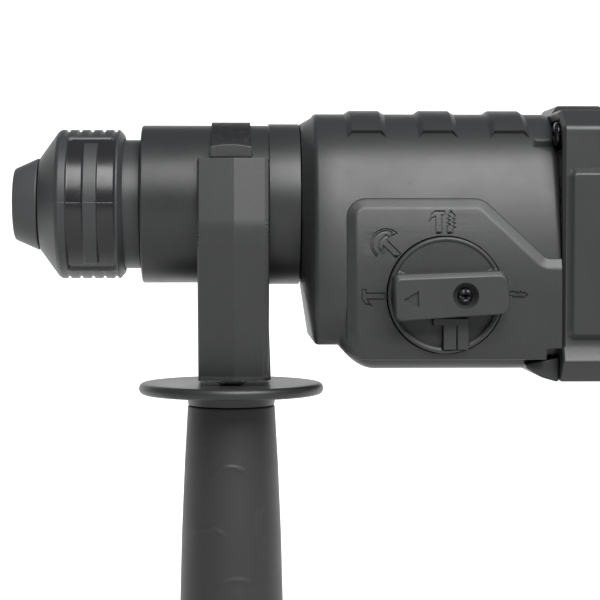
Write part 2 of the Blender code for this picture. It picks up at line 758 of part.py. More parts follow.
def make_brushes():
    """A brush on each side of the commutator, in guides on one carrier ring."""
    carrier = make_ring("brush_carrier", IVORY_PLASTIC, 0.1975, 0.2000, 0.0150, 0.0310, MOTOR_Z, 24)
    guides, slots = [], []
    for side, sense in (("left", -1), ("right", 1)):
        reach = sorted((sense * 0.0148, sense * 0.0280))
        guides.append(block(f"guide_{side}", None, (0.1980, reach[0], MOTOR_Z - 0.0052),
                            (0.2085, reach[1], MOTOR_Z + 0.0052)))
        long = sorted((sense * 0.0100, sense * 0.0400))
        slots.append(block(f"guide_slot_{side}", None, (0.1997, long[0], MOTOR_Z - 0.0036),
                           (0.2068, long[1], MOTOR_Z + 0.0036)))
        brush = sorted((sense * 0.0132, sense * 0.0260))
        block(f"carbon_brush_{side}", CARBON, (0.2000, brush[0], MOTOR_Z - 0.0033),
              (0.2065, brush[1], MOTOR_Z + 0.0033))
    join(carrier, *guides)
    cut(carrier, *slots)


# ---------------------------------------------------------------- D-handle


HANDLE_OUTLINE = [
    (HANDLE_FRONT_X, 0.0240, 0.001), (0.2620, 0.0300, 0.030), (0.3000, 0.0260, 0.016),
    (0.3185, 0.0020, 0.016), (0.3185, -0.0640, 0.020), (0.3040, -0.1075, 0.014),
    (0.2420, -0.1075, 0.020), (HANDLE_FRONT_X, -0.0780, 0.001),
]
HAND_GAP_OUTLINE = [
    (0.2430, -0.0070, 0.010), (0.2830, -0.0090, 0.009), (0.2880, -0.0400, 0.010),
    (0.2860, -0.0850, 0.010), (0.2520, -0.0850, 0.012), (0.2420, -0.0600, 0.012),
]
HANDLE_SCREWS = {
    "top_front": (0.2560, 0, 0.0140), "top_rear": (0.3020, 0, 0.0120),
    "bottom_rear": (0.2980, 0, -0.0960), "bottom_front": (0.2450, 0, -0.0930),
}


def widened(corners, distance):
    """The same corners moved out of the shape by a distance, or into it if it is negative."""
    moved = []
    for i, (x, z, radius) in enumerate(corners):
        here = Vector((x, z))
        before = (Vector(corners[i - 1][:2]) - here).normalized()
        after = (Vector(corners[(i + 1) % len(corners)][:2]) - here).normalized()
        shift = (before + after).normalized() * (distance / math.sin(before.angle(after) / 2))
        moved.append((x - shift.x, z - shift.y, max(radius + distance, 0.0005)))
    return moved


def rear_cover_sections(inset, front_x):
    """From the motor housing's section down to the slim handle."""
    return [
        (front_x, body_section(0.0360, -0.0540, 0.0270, inset)),
        (0.2260, body_section(0.0345, -0.0530, 0.0265, inset)),
        (0.2340, body_section(0.0290, -0.0510, 0.0255, inset)),
        (0.2400 - inset, body_section(0.0225, -0.0480, 0.0240, inset)),
    ]


def make_handle_shells():
    places = HANDLE_SCREWS.values()
    inner = HANDLE_HALF_WIDTH - HANDLE_WALL
    gap = rounded_corners(HAND_GAP_OUTLINE)
    cavity = plate("handle_cavity", None, [
        rounded_corners(widened(HANDLE_OUTLINE, -HANDLE_WALL)),
        rounded_corners(widened(HAND_GAP_OUTLINE, HANDLE_WALL)),
    ], -inner, inner, "XZ")
    cover_cavity = loft("cover_cavity", None, rear_cover_sections(HANDLE_WALL, 0.2160))
    trigger_slot = block("trigger_slot", None, (0.2800, -0.0073, -0.0535), (0.2930, 0.0073, -0.0115))
    screw_holes = rods("handle_screw_holes", places, 0.0020, -0.0400, 0.0095, "Y", 12)
    head_holes = rods("handle_head_holes", places, 0.0038, -0.0400, -0.0129, "Y", 12)
    button_hole = turned("lock_button_hole", None, [
        (-0.0300, 0), (-0.0300, 0.0049), (-0.0100, 0.0049), (-0.0100, 0),
    ], axis="Y", place=(0.3040, 0, -0.0280), steps=16)
    direction_hole = turned("direction_hole", None, [
        (-0.0300, 0), (-0.0300, 0.0043), (0.0300, 0.0043), (0.0300, 0),
    ], axis="Y", place=(0.2840, 0, 0.0060), steps=16)
    gland_hole = turned("gland_hole", None, [
        (-0.0900, 0), (-0.0900, 0.0053), (-0.1200, 0.0053), (-0.1200, 0),
    ], axis="Z", place=(0.2760, 0, 0), steps=16)
    for side, sense in (("left", -1), ("right", 1)):
        shell = plate(f"handle_shell_{side}", BLACK_PLASTIC,
                      [rounded_corners(HANDLE_OUTLINE), gap],
                      -HANDLE_HALF_WIDTH, HANDLE_HALF_WIDTH, "XZ")
        round_edges(shell, 0.004, 1, 60)
        cover = loft(f"rear_cover_{side}", None, rear_cover_sections(0, HANDLE_FRONT_X))
        join(shell, cover)
        cut(shell, cavity, cover_cavity)
        if side == "left":
            cut(shell, button_hole, head_holes)
        post = sorted((sense * 0.0001, sense * (inner + 0.0005)))
        join(shell, rods(f"posts_{side}", places, 0.0045, *post, "Y", 12))
        other_half = sorted((sense * -0.0500, sense * 0.00015))
        cut(shell, screw_holes, trigger_slot, direction_hole, gland_hole,
            block(f"other_half_{side}", None, (0.2000, other_half[0], -0.1300),
                  (0.3400, other_half[1], 0.0600)))


def make_handle_fittings():
    for name, place in HANDLE_SCREWS.items():
        turned("handle_screw_" + name, BLACK_STEEL, [
            (-0.0152, 0), (-0.0152, 0.0034), (-0.0131, 0.0034), (-0.0131, 0.0017),
            (0.0090, 0.0017), (0.0090, 0),
        ], axis="Y", place=place, steps=12)
    block("handle_soft_grip", DARK_RUBBER, (0.3188, -0.0125, -0.0600),
          (0.3220, 0.0125, -0.0040), 0.0014)
    trigger = plate("trigger", BLACK_PLASTIC, [rounded_corners([
        (0.2765, -0.0150, 0.003), (0.2925, -0.0130, 0.001), (0.2925, -0.0520, 0.001),
        (0.2785, -0.0510, 0.004), (0.2735, -0.0300, 0.020)])], -0.0070, 0.0070, "XZ")
    round_edges(trigger, 0.0015, 1)
    set_origin(trigger, (0.2850, 0, -0.0320))
    turned("lock_on_button", RED_PLASTIC, [
        (-0.0182, 0), (-0.0182, 0.0040), (-0.0176, 0.0046), (-0.0122, 0.0046),
        (-0.0122, 0.0060), (-0.0105, 0.0060), (-0.0105, 0),
    ], axis="Y", place=(0.3040, 0, -0.0280), steps=16)
    turned("direction_button", BLACK_PLASTIC, [
        (-0.0195, 0), (-0.0195, 0.0034), (-0.0190, 0.0040), (0.0140, 0.0040),
        (0.0145, 0.0034), (0.0145, 0),
    ], axis="Y", place=(0.2840, 0, 0.0060), steps=16)
    block("switch_module", IVORY_PLASTIC, (0.2995, -0.0062, -0.0580),
          (0.3135, 0.0095, -0.0120), 0.001)
    turned("cable_gland", DARK_RUBBER, [
        (-0.1010, 0.0070), (-0.1030, 0.0070), (-0.1030, 0.0050), (-0.1150, 0.0043),
        (-0.1150, 0.0034), (-0.1010, 0.0034),
    ], axis="Z", place=(0.2760, 0, 0), steps=16)


# ---------------------------------------------------------------- mode selector


def make_selector():
    """The dial turns in a recess of the boss. A tee-shaped button in it frees the turn."""
    centre = (DIAL_X, 0, DIAL_Z)
    dial = turned("selector_dial", BLACK_PLASTIC, [
        (DIAL_FACE_Y, 0), (DIAL_FACE_Y, DIAL_RADIUS - 0.0004), (DIAL_FACE_Y + 0.0004, DIAL_RADIUS),
        (-0.0338, DIAL_RADIUS), (-0.0338, 0.0072), (-0.0316, 0.0072), (-0.0316, 0),
    ], axis="Y", place=centre, steps=28)
    bar = plate("dial_bar", None, [rounded_corners([
        (DIAL_X - 0.0154, DIAL_Z - 0.0066, 0.002), (DIAL_X + 0.0176, DIAL_Z - 0.0060, 0.003),
        (DIAL_X + 0.0176, DIAL_Z + 0.0060, 0.003), (DIAL_X - 0.0154, DIAL_Z + 0.0066, 0.002)])],
        DIAL_BAR_Y, DIAL_FACE_Y + 0.001, "XZ")
    tee = [(-0.0038, -0.0070), (-0.0038, -0.0090), (-0.0008, -0.0090), (-0.0008, -0.0164),
           (0.0068, -0.0164), (0.0068, -0.0070)]
    slot_outline = [(DIAL_X + x, DIAL_Z + z) for x, z in tee_slot(tee)]
    slot = plate("tee_slot", None, [slot_outline], -0.0450, -0.0352, "XZ")
    screw_place = (DIAL_X + 0.0052, 0, DIAL_Z)
    screw_hole = turned("dial_screw_hole", None, [
        (-0.0500, 0), (-0.0500, 0.0039), (-0.0462, 0.0039), (-0.0452, 0.0027), (-0.0433, 0.0027),
        (-0.0433, 0.0014), (-0.0365, 0.0014), (-0.0365, 0),
    ], axis="Y", place=screw_place, steps=16)
    join(dial, bar)
    cut(dial, slot, screw_hole)
    button = plate("selector_lock_button", BLACK_PLASTIC,
                   [[(DIAL_X + x, DIAL_Z + z) for x, z in tee]], -0.0402, -0.0366, "XZ")
    set_origin(button, (DIAL_X + 0.0030, -0.0402, DIAL_Z - 0.0110))
    turned("selector_screw", BLACK_STEEL, [
        (-0.0453, 0), (-0.0453, 0.0021), (-0.0449, 0.0024), (-0.0436, 0.0024),
        (-0.0436, 0.0011), (-0.0370, 0.0011), (-0.0370, 0),
    ], axis="Y", place=screw_place, steps=16)


def tee_slot(tee):
    """The outline of the slot round the tee, a gap wider all round."""
    left, top, low = tee[0][0], tee[0][1], tee[3][1]
    step, stem, right = tee[1][1], tee[2][0], tee[4][0]
    return [(left - GAP, top + GAP), (left - GAP, step - GAP), (stem - GAP, step - GAP),
            (stem - GAP, low - GAP), (right + GAP, low - GAP), (right + GAP, top + GAP)]


# ---------------------------------------------------------------- side handle


def make_yoke():
    """The moulding that straddles the neck from below, and carries the bolt and the guard."""
    side = [
        *arc((0, 0), BAND_INNER, 180, 360, 16),
        (BAND_INNER, YOKE_LEG_TOP - 0.002), (0.0270, YOKE_LEG_TOP), (0.0300, YOKE_LEG_TOP),
        (YOKE_SIDE, YOKE_LEG_TOP - 0.0012), (YOKE_SIDE, -0.0120), (0.0285, -0.0240),
        (0.0215, -0.0350), (0.0175, -0.0440), (0.0165, YOKE_BOTTOM + 0.0012),
    ]
    mirrored = [(-y, z) for y, z in reversed(side[17:])]
    half = YOKE_WIDTH / 2
    yoke = plate("side_handle_yoke", BLACK_PLASTIC, [side + mirrored],
                 YOKE_X - half, YOKE_X + half, "YZ")
    round_edges(yoke, 0.0012, 1, 50)
    foot_half, inner = YOKE_FOOT_WIDTH / 2, half - 0.0006
    narrow = rounded_box(-0.0165, 0.0165, YOKE_BOTTOM, -0.0400, 0.002, 0.006)
    full = rounded_box(-0.0172, 0.0172, YOKE_BOTTOM, -0.0300, 0.002, 0.006)
    foot = loft("yoke_foot", None, [
        (YOKE_X - foot_half, narrow), (YOKE_X - inner, full),
        (YOKE_X + inner, full), (YOKE_X + foot_half, narrow),
    ])
    groove = make_ring("band_groove", None, YOKE_X - BAND_WIDTH / 2 - GAP,
                       YOKE_X + BAND_WIDTH / 2 + GAP, 0.0200, BAND_OUTER + GAP, 0, 40)
    pocket = block("bolt_pocket", None, (YOKE_X - 0.0076, -0.0094, -0.0430),
                   (YOKE_X + 0.0076, 0.0094, -0.0200))
    bolt_hole = turned("yoke_bolt_hole", None, [
        (-0.0300, 0), (-0.0300, 0.0044), (-0.0700, 0.0044), (-0.0700, 0),
    ], axis="Z", place=(YOKE_X, 0, 0), steps=16)
    join(yoke, foot)
    cut(yoke, pocket, bolt_hole, groove)


def make_clamp():
    """A steel band over the neck. Its two ears hang in the yoke, where the bolt pulls them down."""
    ear, ear_bottom = 0.0052, -0.0400
    thickness = BAND_OUTER - BAND_INNER
    dip = math.degrees(math.asin(ear / BAND_OUTER))
    outer = arc((0, 0), BAND_OUTER, -90 + dip + 2.2, 270 - dip - 2.2, 32)
    inner = arc((0, 0), BAND_INNER, 270 - dip, -90 + dip, 32)
    outline = [(ear + thickness, ear_bottom), *outer, (-ear - thickness, ear_bottom),
               (-ear, ear_bottom), *inner, (ear, ear_bottom)]
    low, high = YOKE_X - BAND_WIDTH / 2, YOKE_X + BAND_WIDTH / 2
    band = plate("clamp_band", BLACK_STEEL, [outline], low, high, "YZ")
    pin_hole = turned("ear_hole", None, [
        (-0.0200, 0), (-0.0200, 0.0024), (0.0200, 0.0024), (0.0200, 0),
    ], axis="Y", place=(YOKE_X, 0, -0.0350), steps=12)
    cut(band, pin_hole)
    bolt = turned("clamp_bolt", BRIGHT_STEEL, [
        (-0.0300, 0), (-0.0300, 0.0040), (-0.1000, 0.0040), (-0.1000, 0),
    ], axis="Z", place=(YOKE_X, 0, 0), steps=16)
    head = block("bolt_head", None, (YOKE_X - 0.0050, -0.0049, -0.0395),
                 (YOKE_X + 0.0050, 0.0049, -0.0300))
    pin = turned("bolt_pin", None, [
        (-0.0080, 0), (-0.0080, 0.0021), (0.0080, 0.0021), (0.0080, 0),
    ], axis="Y", place=(YOKE_X, 0, -0.0350), steps=12)
    join(bolt, head, pin)


def make_grip():
    """The guard and the tube below it are one moulding, and the rubber grip is pulled over it."""
    axis = (YOKE_X, 0, 0)
    rim_radius = GUARD_THICKNESS / 2
    rim = [(GUARD_TOP - rim_radius + rim_radius * math.sin(a),
            GUARD_RADIUS - rim_radius + rim_radius * math.cos(a))
           for a in (math.radians(90 - 45 * i) for i in range(5))]
    turned("guard_disc", BLACK_PLASTIC, [
        *rim, (GUARD_TOP - GUARD_THICKNESS, 0.0140), (GRIP_TOP + GAP, 0.0138),
        (GRIP_TOP + GAP, 0.0090), (-0.1740, 0.0090), (-0.1740, 0.0048), (GUARD_TOP, 0.0048),
    ], axis="Z", place=axis, steps=28)
    sleeve = turned("grip_sleeve", DARK_RUBBER, [
        (GRIP_TOP, 0), (GRIP_TOP, 0.0136), (GRIP_TOP - 0.0006, 0.0140), (-0.0820, 0.0150),
        (-0.1050, 0.0160), (-0.1280, 0.0166), (-0.1500, 0.0164), (-0.1680, 0.0168),
        (-0.1760, 0.0164), (GRIP_BOTTOM + 0.0012, 0.0144), (GRIP_BOTTOM, 0.0120), (GRIP_BOTTOM, 0),
    ], axis="Z", place=axis, steps=28)
    bore = turned("grip_bore", None, [
        (-0.0500, 0), (-0.0500, 0.0093), (-0.1760, 0.0093), (-0.1760, 0),
    ], axis="Z", place=axis, steps=20)
    cut(sleeve, bore)


# ---------------------------------------------------------------- build


def main():
    make_dust_cap()
    make_locking_sleeve()
    make_sleeve_carrier()
    make_spindle()
    make_locking_ball()
    make_sleeve_spring()
    make_neck()
    make_spindle_bearings()
    make_anvil()
    make_striker()
    make_piston()
    make_spindle_gear()
    make_countershaft()
    make_wobble_drive()
    make_gear_housing()
    make_flange_screws()
    make_inner_plates()
    make_motor_housing()
    make_motor()
    make_handle_shells()
    make_handle_fittings()
    make_selector()
    make_yoke()
    make_clamp()
    make_grip()


main()
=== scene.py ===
import math

import bmesh
import bpy
import numpy as np
from mathutils import Matrix, Vector


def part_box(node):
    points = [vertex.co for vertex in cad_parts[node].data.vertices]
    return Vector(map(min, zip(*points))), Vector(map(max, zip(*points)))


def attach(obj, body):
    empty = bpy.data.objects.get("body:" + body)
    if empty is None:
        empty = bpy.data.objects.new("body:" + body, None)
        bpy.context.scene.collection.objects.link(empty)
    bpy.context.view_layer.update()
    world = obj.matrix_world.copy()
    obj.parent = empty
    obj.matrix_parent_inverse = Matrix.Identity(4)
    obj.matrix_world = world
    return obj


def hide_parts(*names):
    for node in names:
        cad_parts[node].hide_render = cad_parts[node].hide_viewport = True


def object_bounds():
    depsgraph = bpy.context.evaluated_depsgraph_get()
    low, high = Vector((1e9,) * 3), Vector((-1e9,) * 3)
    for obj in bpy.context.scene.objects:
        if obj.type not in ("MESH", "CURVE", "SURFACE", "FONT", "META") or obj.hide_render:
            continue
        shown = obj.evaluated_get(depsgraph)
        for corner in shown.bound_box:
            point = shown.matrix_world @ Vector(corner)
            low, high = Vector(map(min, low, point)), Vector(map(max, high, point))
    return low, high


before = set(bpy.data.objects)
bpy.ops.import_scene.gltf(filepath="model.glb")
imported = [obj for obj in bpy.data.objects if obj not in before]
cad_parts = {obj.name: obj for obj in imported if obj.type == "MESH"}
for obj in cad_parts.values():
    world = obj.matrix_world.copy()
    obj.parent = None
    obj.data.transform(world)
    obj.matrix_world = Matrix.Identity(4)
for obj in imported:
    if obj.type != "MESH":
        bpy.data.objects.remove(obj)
cad_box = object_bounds()


# ------------------------------------------------------------------ rubber dust cap
# The nose cone that keeps grit out of the chuck. It is one nitrile rubber moulding, snapped
# over the front of the tool holder, and it is pulled off when the chuck is cleaned.


class Wire:
    """One output of a node tree. Arithmetic on it adds Math nodes to the tree."""

    def __init__(self, tree, socket=None):
        self.tree = tree
        self.socket = socket

    def node(self, kind, settings=None, sockets=None, output=0):
        """Adds a node of any type: its settings first, then its sockets' values or links."""
        made = self.tree.nodes.new(kind)
        for name, value in (settings or {}).items():
            setattr(made, name, value)
        for name, value in (sockets or {}).items():
            if isinstance(value, Wire):
                self.tree.links.new(value.socket, made.inputs[name])
            else:
                made.inputs[name].default_value = value
        return Wire(self.tree, made.outputs[output])

    def also(self, name, wire):
        """Links one more wire to an input of this node that takes several."""
        self.tree.links.new(wire.socket, self.socket.node.inputs[name])

    def part(self, axis):
        """The X, Y or Z of this vector."""
        return self.node("ShaderNodeSeparateXYZ", None, {0: self}, output="XYZ".index(axis))

    def math(self, operation, *values):
        return self.node("ShaderNodeMath", {"operation": operation}, dict(enumerate(values)))

    def __add__(self, other):
        return self.math("ADD", self, other)

    def __sub__(self, other):
        return self.math("SUBTRACT", self, other)

    def __rsub__(self, other):
        return self.math("SUBTRACT", other, self)

    def __mul__(self, other):
        return self.math("MULTIPLY", self, other)

    def __truediv__(self, other):
        return self.math("DIVIDE", self, other)

    __radd__ = __add__
    __rmul__ = __mul__

    def between(self, low, high):
        """0 at the low value and 1 at the high one, straight between them."""
        sockets = {"Value": self, "From Min": low, "From Max": high}
        return self.node("ShaderNodeMapRange", None, sockets)

    def mixed(self, colour_a, colour_b):
        """The first colour where this is 0 and the second where it is 1."""
        a, b = (c if isinstance(c, Wire) else (*c, 1) for c in (colour_a, colour_b))
        return self.node("ShaderNodeMix", {"data_type": "RGBA"}, {0: self, 6: a, 7: b}, output=2)

    def noise(self, scale, detail=2.0, roughness=0.5):
        """Noise over this vector, from about 0.3 to 0.7."""
        sockets = {"Vector": self, "Scale": scale, "Detail": detail, "Roughness": roughness}
        return self.node("ShaderNodeTexNoise", None, sockets)


def start_finish(name, roughness, metallic=0.0):
    """A new material, the place on its piece as a wire, and its Principled shader."""
    material = bpy.data.materials.new(name)
    material.use_nodes = True
    tree = material.node_tree
    shader = tree.nodes["Principled BSDF"]
    shader.inputs["Roughness"].default_value = roughness
    shader.inputs["Metallic"].default_value = metallic
    place = Wire(tree).node("ShaderNodeTexCoord", None, None, output=3)
    return material, place, shader


def feed(shader, name, wire):
    wire.tree.links.new(wire.socket, shader.inputs[name])


def feed_bump(shader, height, distance):
    bump = height.node("ShaderNodeBump", None, {"Strength": 1.0, "Distance": distance,
                                                "Height": height})
    feed(shader, "Normal", bump)


def moulded(name, colour, roughness, grain=0.00035, depth=0.00003, sheen=0.0):
    """A moulded polymer: spark-eroded grain, faint flow marks and handling marks."""
    material, place, shader = start_finish(name, roughness)
    fine = place.noise(1 / grain, 3.0, 0.6)
    flow = place.noise(45.0, 3.0, 0.6).between(0.3, 0.7)
    scuffs = place.noise(260.0, 5.0, 0.75).between(0.56, 0.72)
    worn = tuple(1.4 * c + 0.001 for c in colour)
    speckled = fine.between(0.3, 0.7).mixed([0.82 * c for c in colour], [1.16 * c for c in colour])
    feed(shader, "Base Color", (scuffs * 0.25 + flow * 0.08).mixed(speckled, worn))
    feed(shader, "Roughness", roughness - 0.05 + flow * 0.07 + scuffs * 0.05)
    shader.inputs["Sheen Weight"].default_value = sheen
    feed_bump(shader, fine, depth)
    return material


def rounded(corners, closed=True, steps=6):
    """A line through (u, v, radius) corners, each rounded to its radius."""
    points = []
    for i, (u, v, radius) in enumerate(corners):
        at_end = not closed and i in (0, len(corners) - 1)
        if radius == 0 or at_end:
            points.append((u, v))
            continue
        here = Vector((u, v))
        before = (Vector(corners[i - 1][:2]) - here).normalized()
        after = (Vector(corners[(i + 1) % len(corners)][:2]) - here).normalized()
        half_angle = before.angle(after) / 2
        centre = here + (before + after).normalized() * (radius / math.sin(half_angle))
        reach = radius / math.tan(half_angle)
        start, end = here + before * reach - centre, here + after * reach - centre
        turn = math.atan2(start.cross(end), start.dot(end))
        for step in range(steps + 1):
            points.append(tuple(centre + Matrix.Rotation(turn * step / steps, 2) @ start))
    return points


def spaced(points, step, closed=False):
    """The same line with points put in, so that none of its runs is longer than the step."""
    ends = points[1:] + points[:1] if closed else points[1:]
    made = []
    for a, b in zip(points, ends):
        count = max(1, math.ceil(math.dist(a, b) / step))
        made += [tuple(np.array(a) + (np.array(b) - np.array(a)) * i / count)
                 for i in range(count)]
    return made if closed else made + [points[-1]]


def set_piece(name, mesh, finish, sharp=35):
    """An object at the origin with its mesh shaded smooth but for its sharp edges."""
    piece = bpy.data.objects.new(name, mesh)
    bpy.context.scene.collection.objects.link(piece)
    if not mesh.materials:
        mesh.materials.append(finish)
    mesh.shade_smooth()
    mesh.set_sharp_from_angle(angle=math.radians(sharp))
    return piece


def skin(name, rings, finish, loop=False, sharp=35):
    """A closed skin over rings of points, capped at its ends or led back to its first ring."""
    shape = bmesh.new()
    rows = [[shape.verts.new(point) for point in ring] for ring in rings]
    for row, following in zip(rows, rows[1:] + rows[:1] if loop else rows[1:]):
        for i in range(len(row)):
            j = (i + 1) % len(row)
            shape.faces.new((row[i], row[j], following[j], following[i]))
    if not loop:
        shape.faces.new(rows[0][::-1])
        shape.faces.new(rows[-1])
    bmesh.ops.remove_doubles(shape, verts=shape.verts, dist=0.000001)
    bmesh.ops.recalc_face_normals(shape, faces=shape.faces)
    mesh = bpy.data.meshes.new(name)
    shape.to_mesh(mesh)
    shape.free()
    return set_piece(name, mesh, finish, sharp)


def spun(name, profile, finish, axis="X", place=(0, 0, 0), turns=96, swell=None, sharp=35):
    """A turned piece from (along, radius) points. An angle of 0 faces the tool's left side.

    A swell is how far the surface stands out, from the place along and the angles.
    """
    angles = np.arange(turns) * 2 * math.pi / turns if isinstance(turns, int) else turns
    near, side = -np.cos(angles), np.sin(angles)
    rings = []
    for along, radius in profile:
        reach = radius + (swell(along, radius, angles) if swell else 0 * angles)
        flat = np.full_like(angles, along)
        ring = {"X": (flat, near * reach, side * reach),
                "Y": (near * reach, flat, side * reach),
                "Z": (side * reach, near * reach, flat)}[axis]
        rings.append(np.array(ring).T + np.array(place))
    return skin(name, rings, finish, loop=profile[0][1] > 0, sharp=sharp)


def fit(piece, body, slot, *nodes):
    """Puts a finished piece on its body, in place of the plain solids that it stands for."""
    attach(piece, body)
    if nodes:
        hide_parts(*nodes)
    return piece


cap_rubber = moulded("cap_rubber", (0.046, 0.047, 0.048), 0.5, grain=0.00025, depth=0.000012)
cap_low, cap_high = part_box("dust_cap")
CAP_BORE = 0.0057
fit(spun("rubber_dust_cap", rounded([
    (cap_low.x, CAP_BORE, 0.0008), (cap_low.x, 0.0112, 0.0012), (cap_high.x, cap_high.z, 0.0004),
    (cap_high.x, 0.0091, 0), (-0.0518, 0.0091, 0), (-0.0518, CAP_BORE, 0)]),
    cap_rubber), "spindle_set", "cap_rubber", "dust_cap")


# ------------------------------------------------------------------ locking sleeve
# The sleeve that is drawn back to free the bit. Its front cone is plain, two glossy windows
# with a raised finger band lie at its sides, and notched grips run over its top and bottom.

matte_sleeve = moulded("sleeve_matte_plastic", (0.030, 0.031, 0.032), 0.46, depth=0.00002)
gloss_sleeve = moulded("sleeve_glossy_window", (0.012, 0.012, 0.013), 0.27, depth=0.000006)
sleeve_low, sleeve_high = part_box("locking_sleeve")
SLEEVE_RADIUS = sleeve_high.z
WINDOW_FRONT, WINDOW_REAR = -0.0374, -0.0224
WINDOW_HALF_ANGLE = math.radians(61)
WINDOW_DEPTH = 0.0008
BAND_FRONT, BAND_REAR = -0.0322, -0.0279
BAND_HALF_ANGLE = math.radians(54)
NOTCH_PITCH = 0.00372
NOTCH_MIDDLE = -0.0303


def inside(distance, softness):
    """1 well inside an outline and 0 outside it, with a short slope between."""
    share = np.clip(0.5 - distance / softness, 0, 1)
    return share * share * (3 - 2 * share)


def window_distance(along, radius, turned, front, rear, half_angle, corner):
    """Distance to a rounded window on the sleeve, negative inside it."""
    u = abs(along - (front + rear) / 2) - (rear - front) / 2 + corner
    v = np.abs(turned) * radius - half_angle * radius + corner
    outside = np.hypot(np.maximum(u, 0), np.maximum(v, 0))
    return outside + np.minimum(np.maximum(u, v), 0) - corner


def side_angle(angles):
    """The angle from the middle of the nearer side, left or right."""
    return (angles + math.pi / 2) % math.pi - math.pi / 2


def sleeve_swell(along, radius, angles):
    if radius < SLEEVE_RADIUS - 0.0025:
        return 0 * angles
    turned = side_angle(angles)
    window = inside(window_distance(along, radius, turned, WINDOW_FRONT, WINDOW_REAR,
                                    WINDOW_HALF_ANGLE, 0.0016), 0.0005)
    band = inside(window_distance(along, radius, turned, BAND_FRONT, BAND_REAR,
                                  BAND_HALF_ANGLE, 0.0006), 0.0004)
    parting = inside(np.abs(turned) * radius - 0.00012, 0.00012)
    offset = (along - NOTCH_MIDDLE) / NOTCH_PITCH
    nearest = min(max(round(offset), -2), 2)
    notch_line = inside(np.array(abs(offset - nearest) * NOTCH_PITCH - 0.0005), 0.0006)
    on_grip = inside(math.radians(66) - np.abs(turned), math.radians(3))
    return (-WINDOW_DEPTH * window + 0.0006 * band * window + 0.00006 * parting
            - 0.0007 * notch_line * on_grip)


sleeve_profile = spaced(rounded([
    (sleeve_low.x, 0.0149, 0.0004), (-0.0408, 0.0230, 0.0012), (-0.0398, SLEEVE_RADIUS - 0.0001, 0.0006),
    (-0.0216, SLEEVE_RADIUS - 0.0001, 0.0006), (sleeve_high.x, 0.0219, 0.0004),
    (sleeve_high.x, 0.0209, 0)], closed=False), 0.0002)
sleeve_bore = [(-0.0370, 0.0209), (-0.0400, 0.0145), (-0.0400, 0.0125), (sleeve_low.x, 0.0125)]
sleeve_angles = np.sort(np.concatenate([
    np.arange(280) * 2 * math.pi / 280 + 0.011,
    *[middle + np.array([-0.012, -0.008, -0.004, 0, 0.004, 0.008]) for middle in (0, math.pi)]]))
sleeve = spun("chuck_sleeve_shell", sleeve_profile + sleeve_bore, matte_sleeve,
              turns=sleeve_angles, swell=sleeve_swell, sharp=60)
sleeve.data.materials.append(gloss_sleeve)
for face in sleeve.data.polygons:
    x, y, z = face.center
    radius = math.hypot(y, z)
    turned = side_angle(math.atan2(z, -y))
    in_window = window_distance(x, SLEEVE_RADIUS, turned, WINDOW_FRONT, WINDOW_REAR,
                                WINDOW_HALF_ANGLE, 0.0016) < -0.0002
    on_band = window_distance(x, SLEEVE_RADIUS, turned, BAND_FRONT, BAND_REAR,
                              BAND_HALF_ANGLE, 0.0006) < 0.0001
    if radius > SLEEVE_RADIUS - 0.002 and in_window and not on_band:
        face.material_index = 1
fit(sleeve, "chuck_sleeve", "housing_plastic", "locking_sleeve")


# ------------------------------------------------------------------ sleeve carrier
# The collar behind the sleeve. It is pressed onto the tool holder and turns with it, and the
# sleeve slides over its front half.

carrier_low, carrier_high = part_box("sleeve_carrier")
fit(spun("chuck_carrier_collar", rounded([
    (carrier_low.x, carrier_high.z, 0.0002), (carrier_high.x, carrier_high.z, 0.0003),
    (carrier_high.x, 0.0123, 0), (-0.0175, 0.0123, 0), (-0.0175, 0.0185, 0),
    (carrier_low.x, 0.0185, 0)]),
    matte_sleeve), "spindle_set", "housing_plastic", "sleeve_carrier")


# ------------------------------------------------------------------ spindle neck
# The round neck that the side handle clamps, with a slightly larger ring behind it. It is cast
# with the bearing seats inside, coated, and bolted to the gear housing.

neck_plastic = moulded("neck_coating", (0.018, 0.0185, 0.019), 0.42, depth=0.00002)
neck_low, neck_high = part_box("spindle_neck")
NECK_RADIUS, RING_RADIUS = 0.025, neck_high.z
RING_X = 0.0253
fit(spun("clamping_neck", rounded([
    (neck_low.x, NECK_RADIUS, 0.0007), (RING_X, NECK_RADIUS, 0.0002), (RING_X, RING_RADIUS, 0.0002),
    (neck_high.x, RING_RADIUS, 0.0002), (neck_high.x, 0.0220, 0), (0.0055, 0.0220, 0),
    (0.0055, 0.0200, 0), (-0.0126, 0.0200, 0), (-0.0126, 0.0170, 0), (neck_low.x, 0.0170, 0)]),
    neck_plastic, turns=128), "tool_body", "neck_plastic", "spindle_neck")


# ------------------------------------------------------------------ gear housing
# The barrel-sided shell over the hammer mechanism. It is moulded in glass-filled nylon, its
# underside drops in a smooth step, and a lug behind takes the lower flange screws.

housing_plastic = moulded("housing_nylon", (0.021, 0.0215, 0.022), 0.43)
HOUSING_FACE_X, HOUSING_REAR_X = 0.0394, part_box("gear_housing")[1].x
NOSE_BOTTOM, HOUSING_BOTTOM = -0.0436, -0.0509
LUG_BOTTOM = -0.0545
STEP_START, STEP_END = 0.0464, 0.0575
BARREL_HALF_WIDTH, WIDEST_Z = 0.0368, -0.0300
# The side's arcs away from its widest place: where the surface's normal ends, and the radius.
ARCS_UP = ((14, 0.124), (24, 0.067), (90, 0.0295))
ARCS_DOWN = ((-40, 0.0272), (-90, 0.0095))
WALL = 0.003


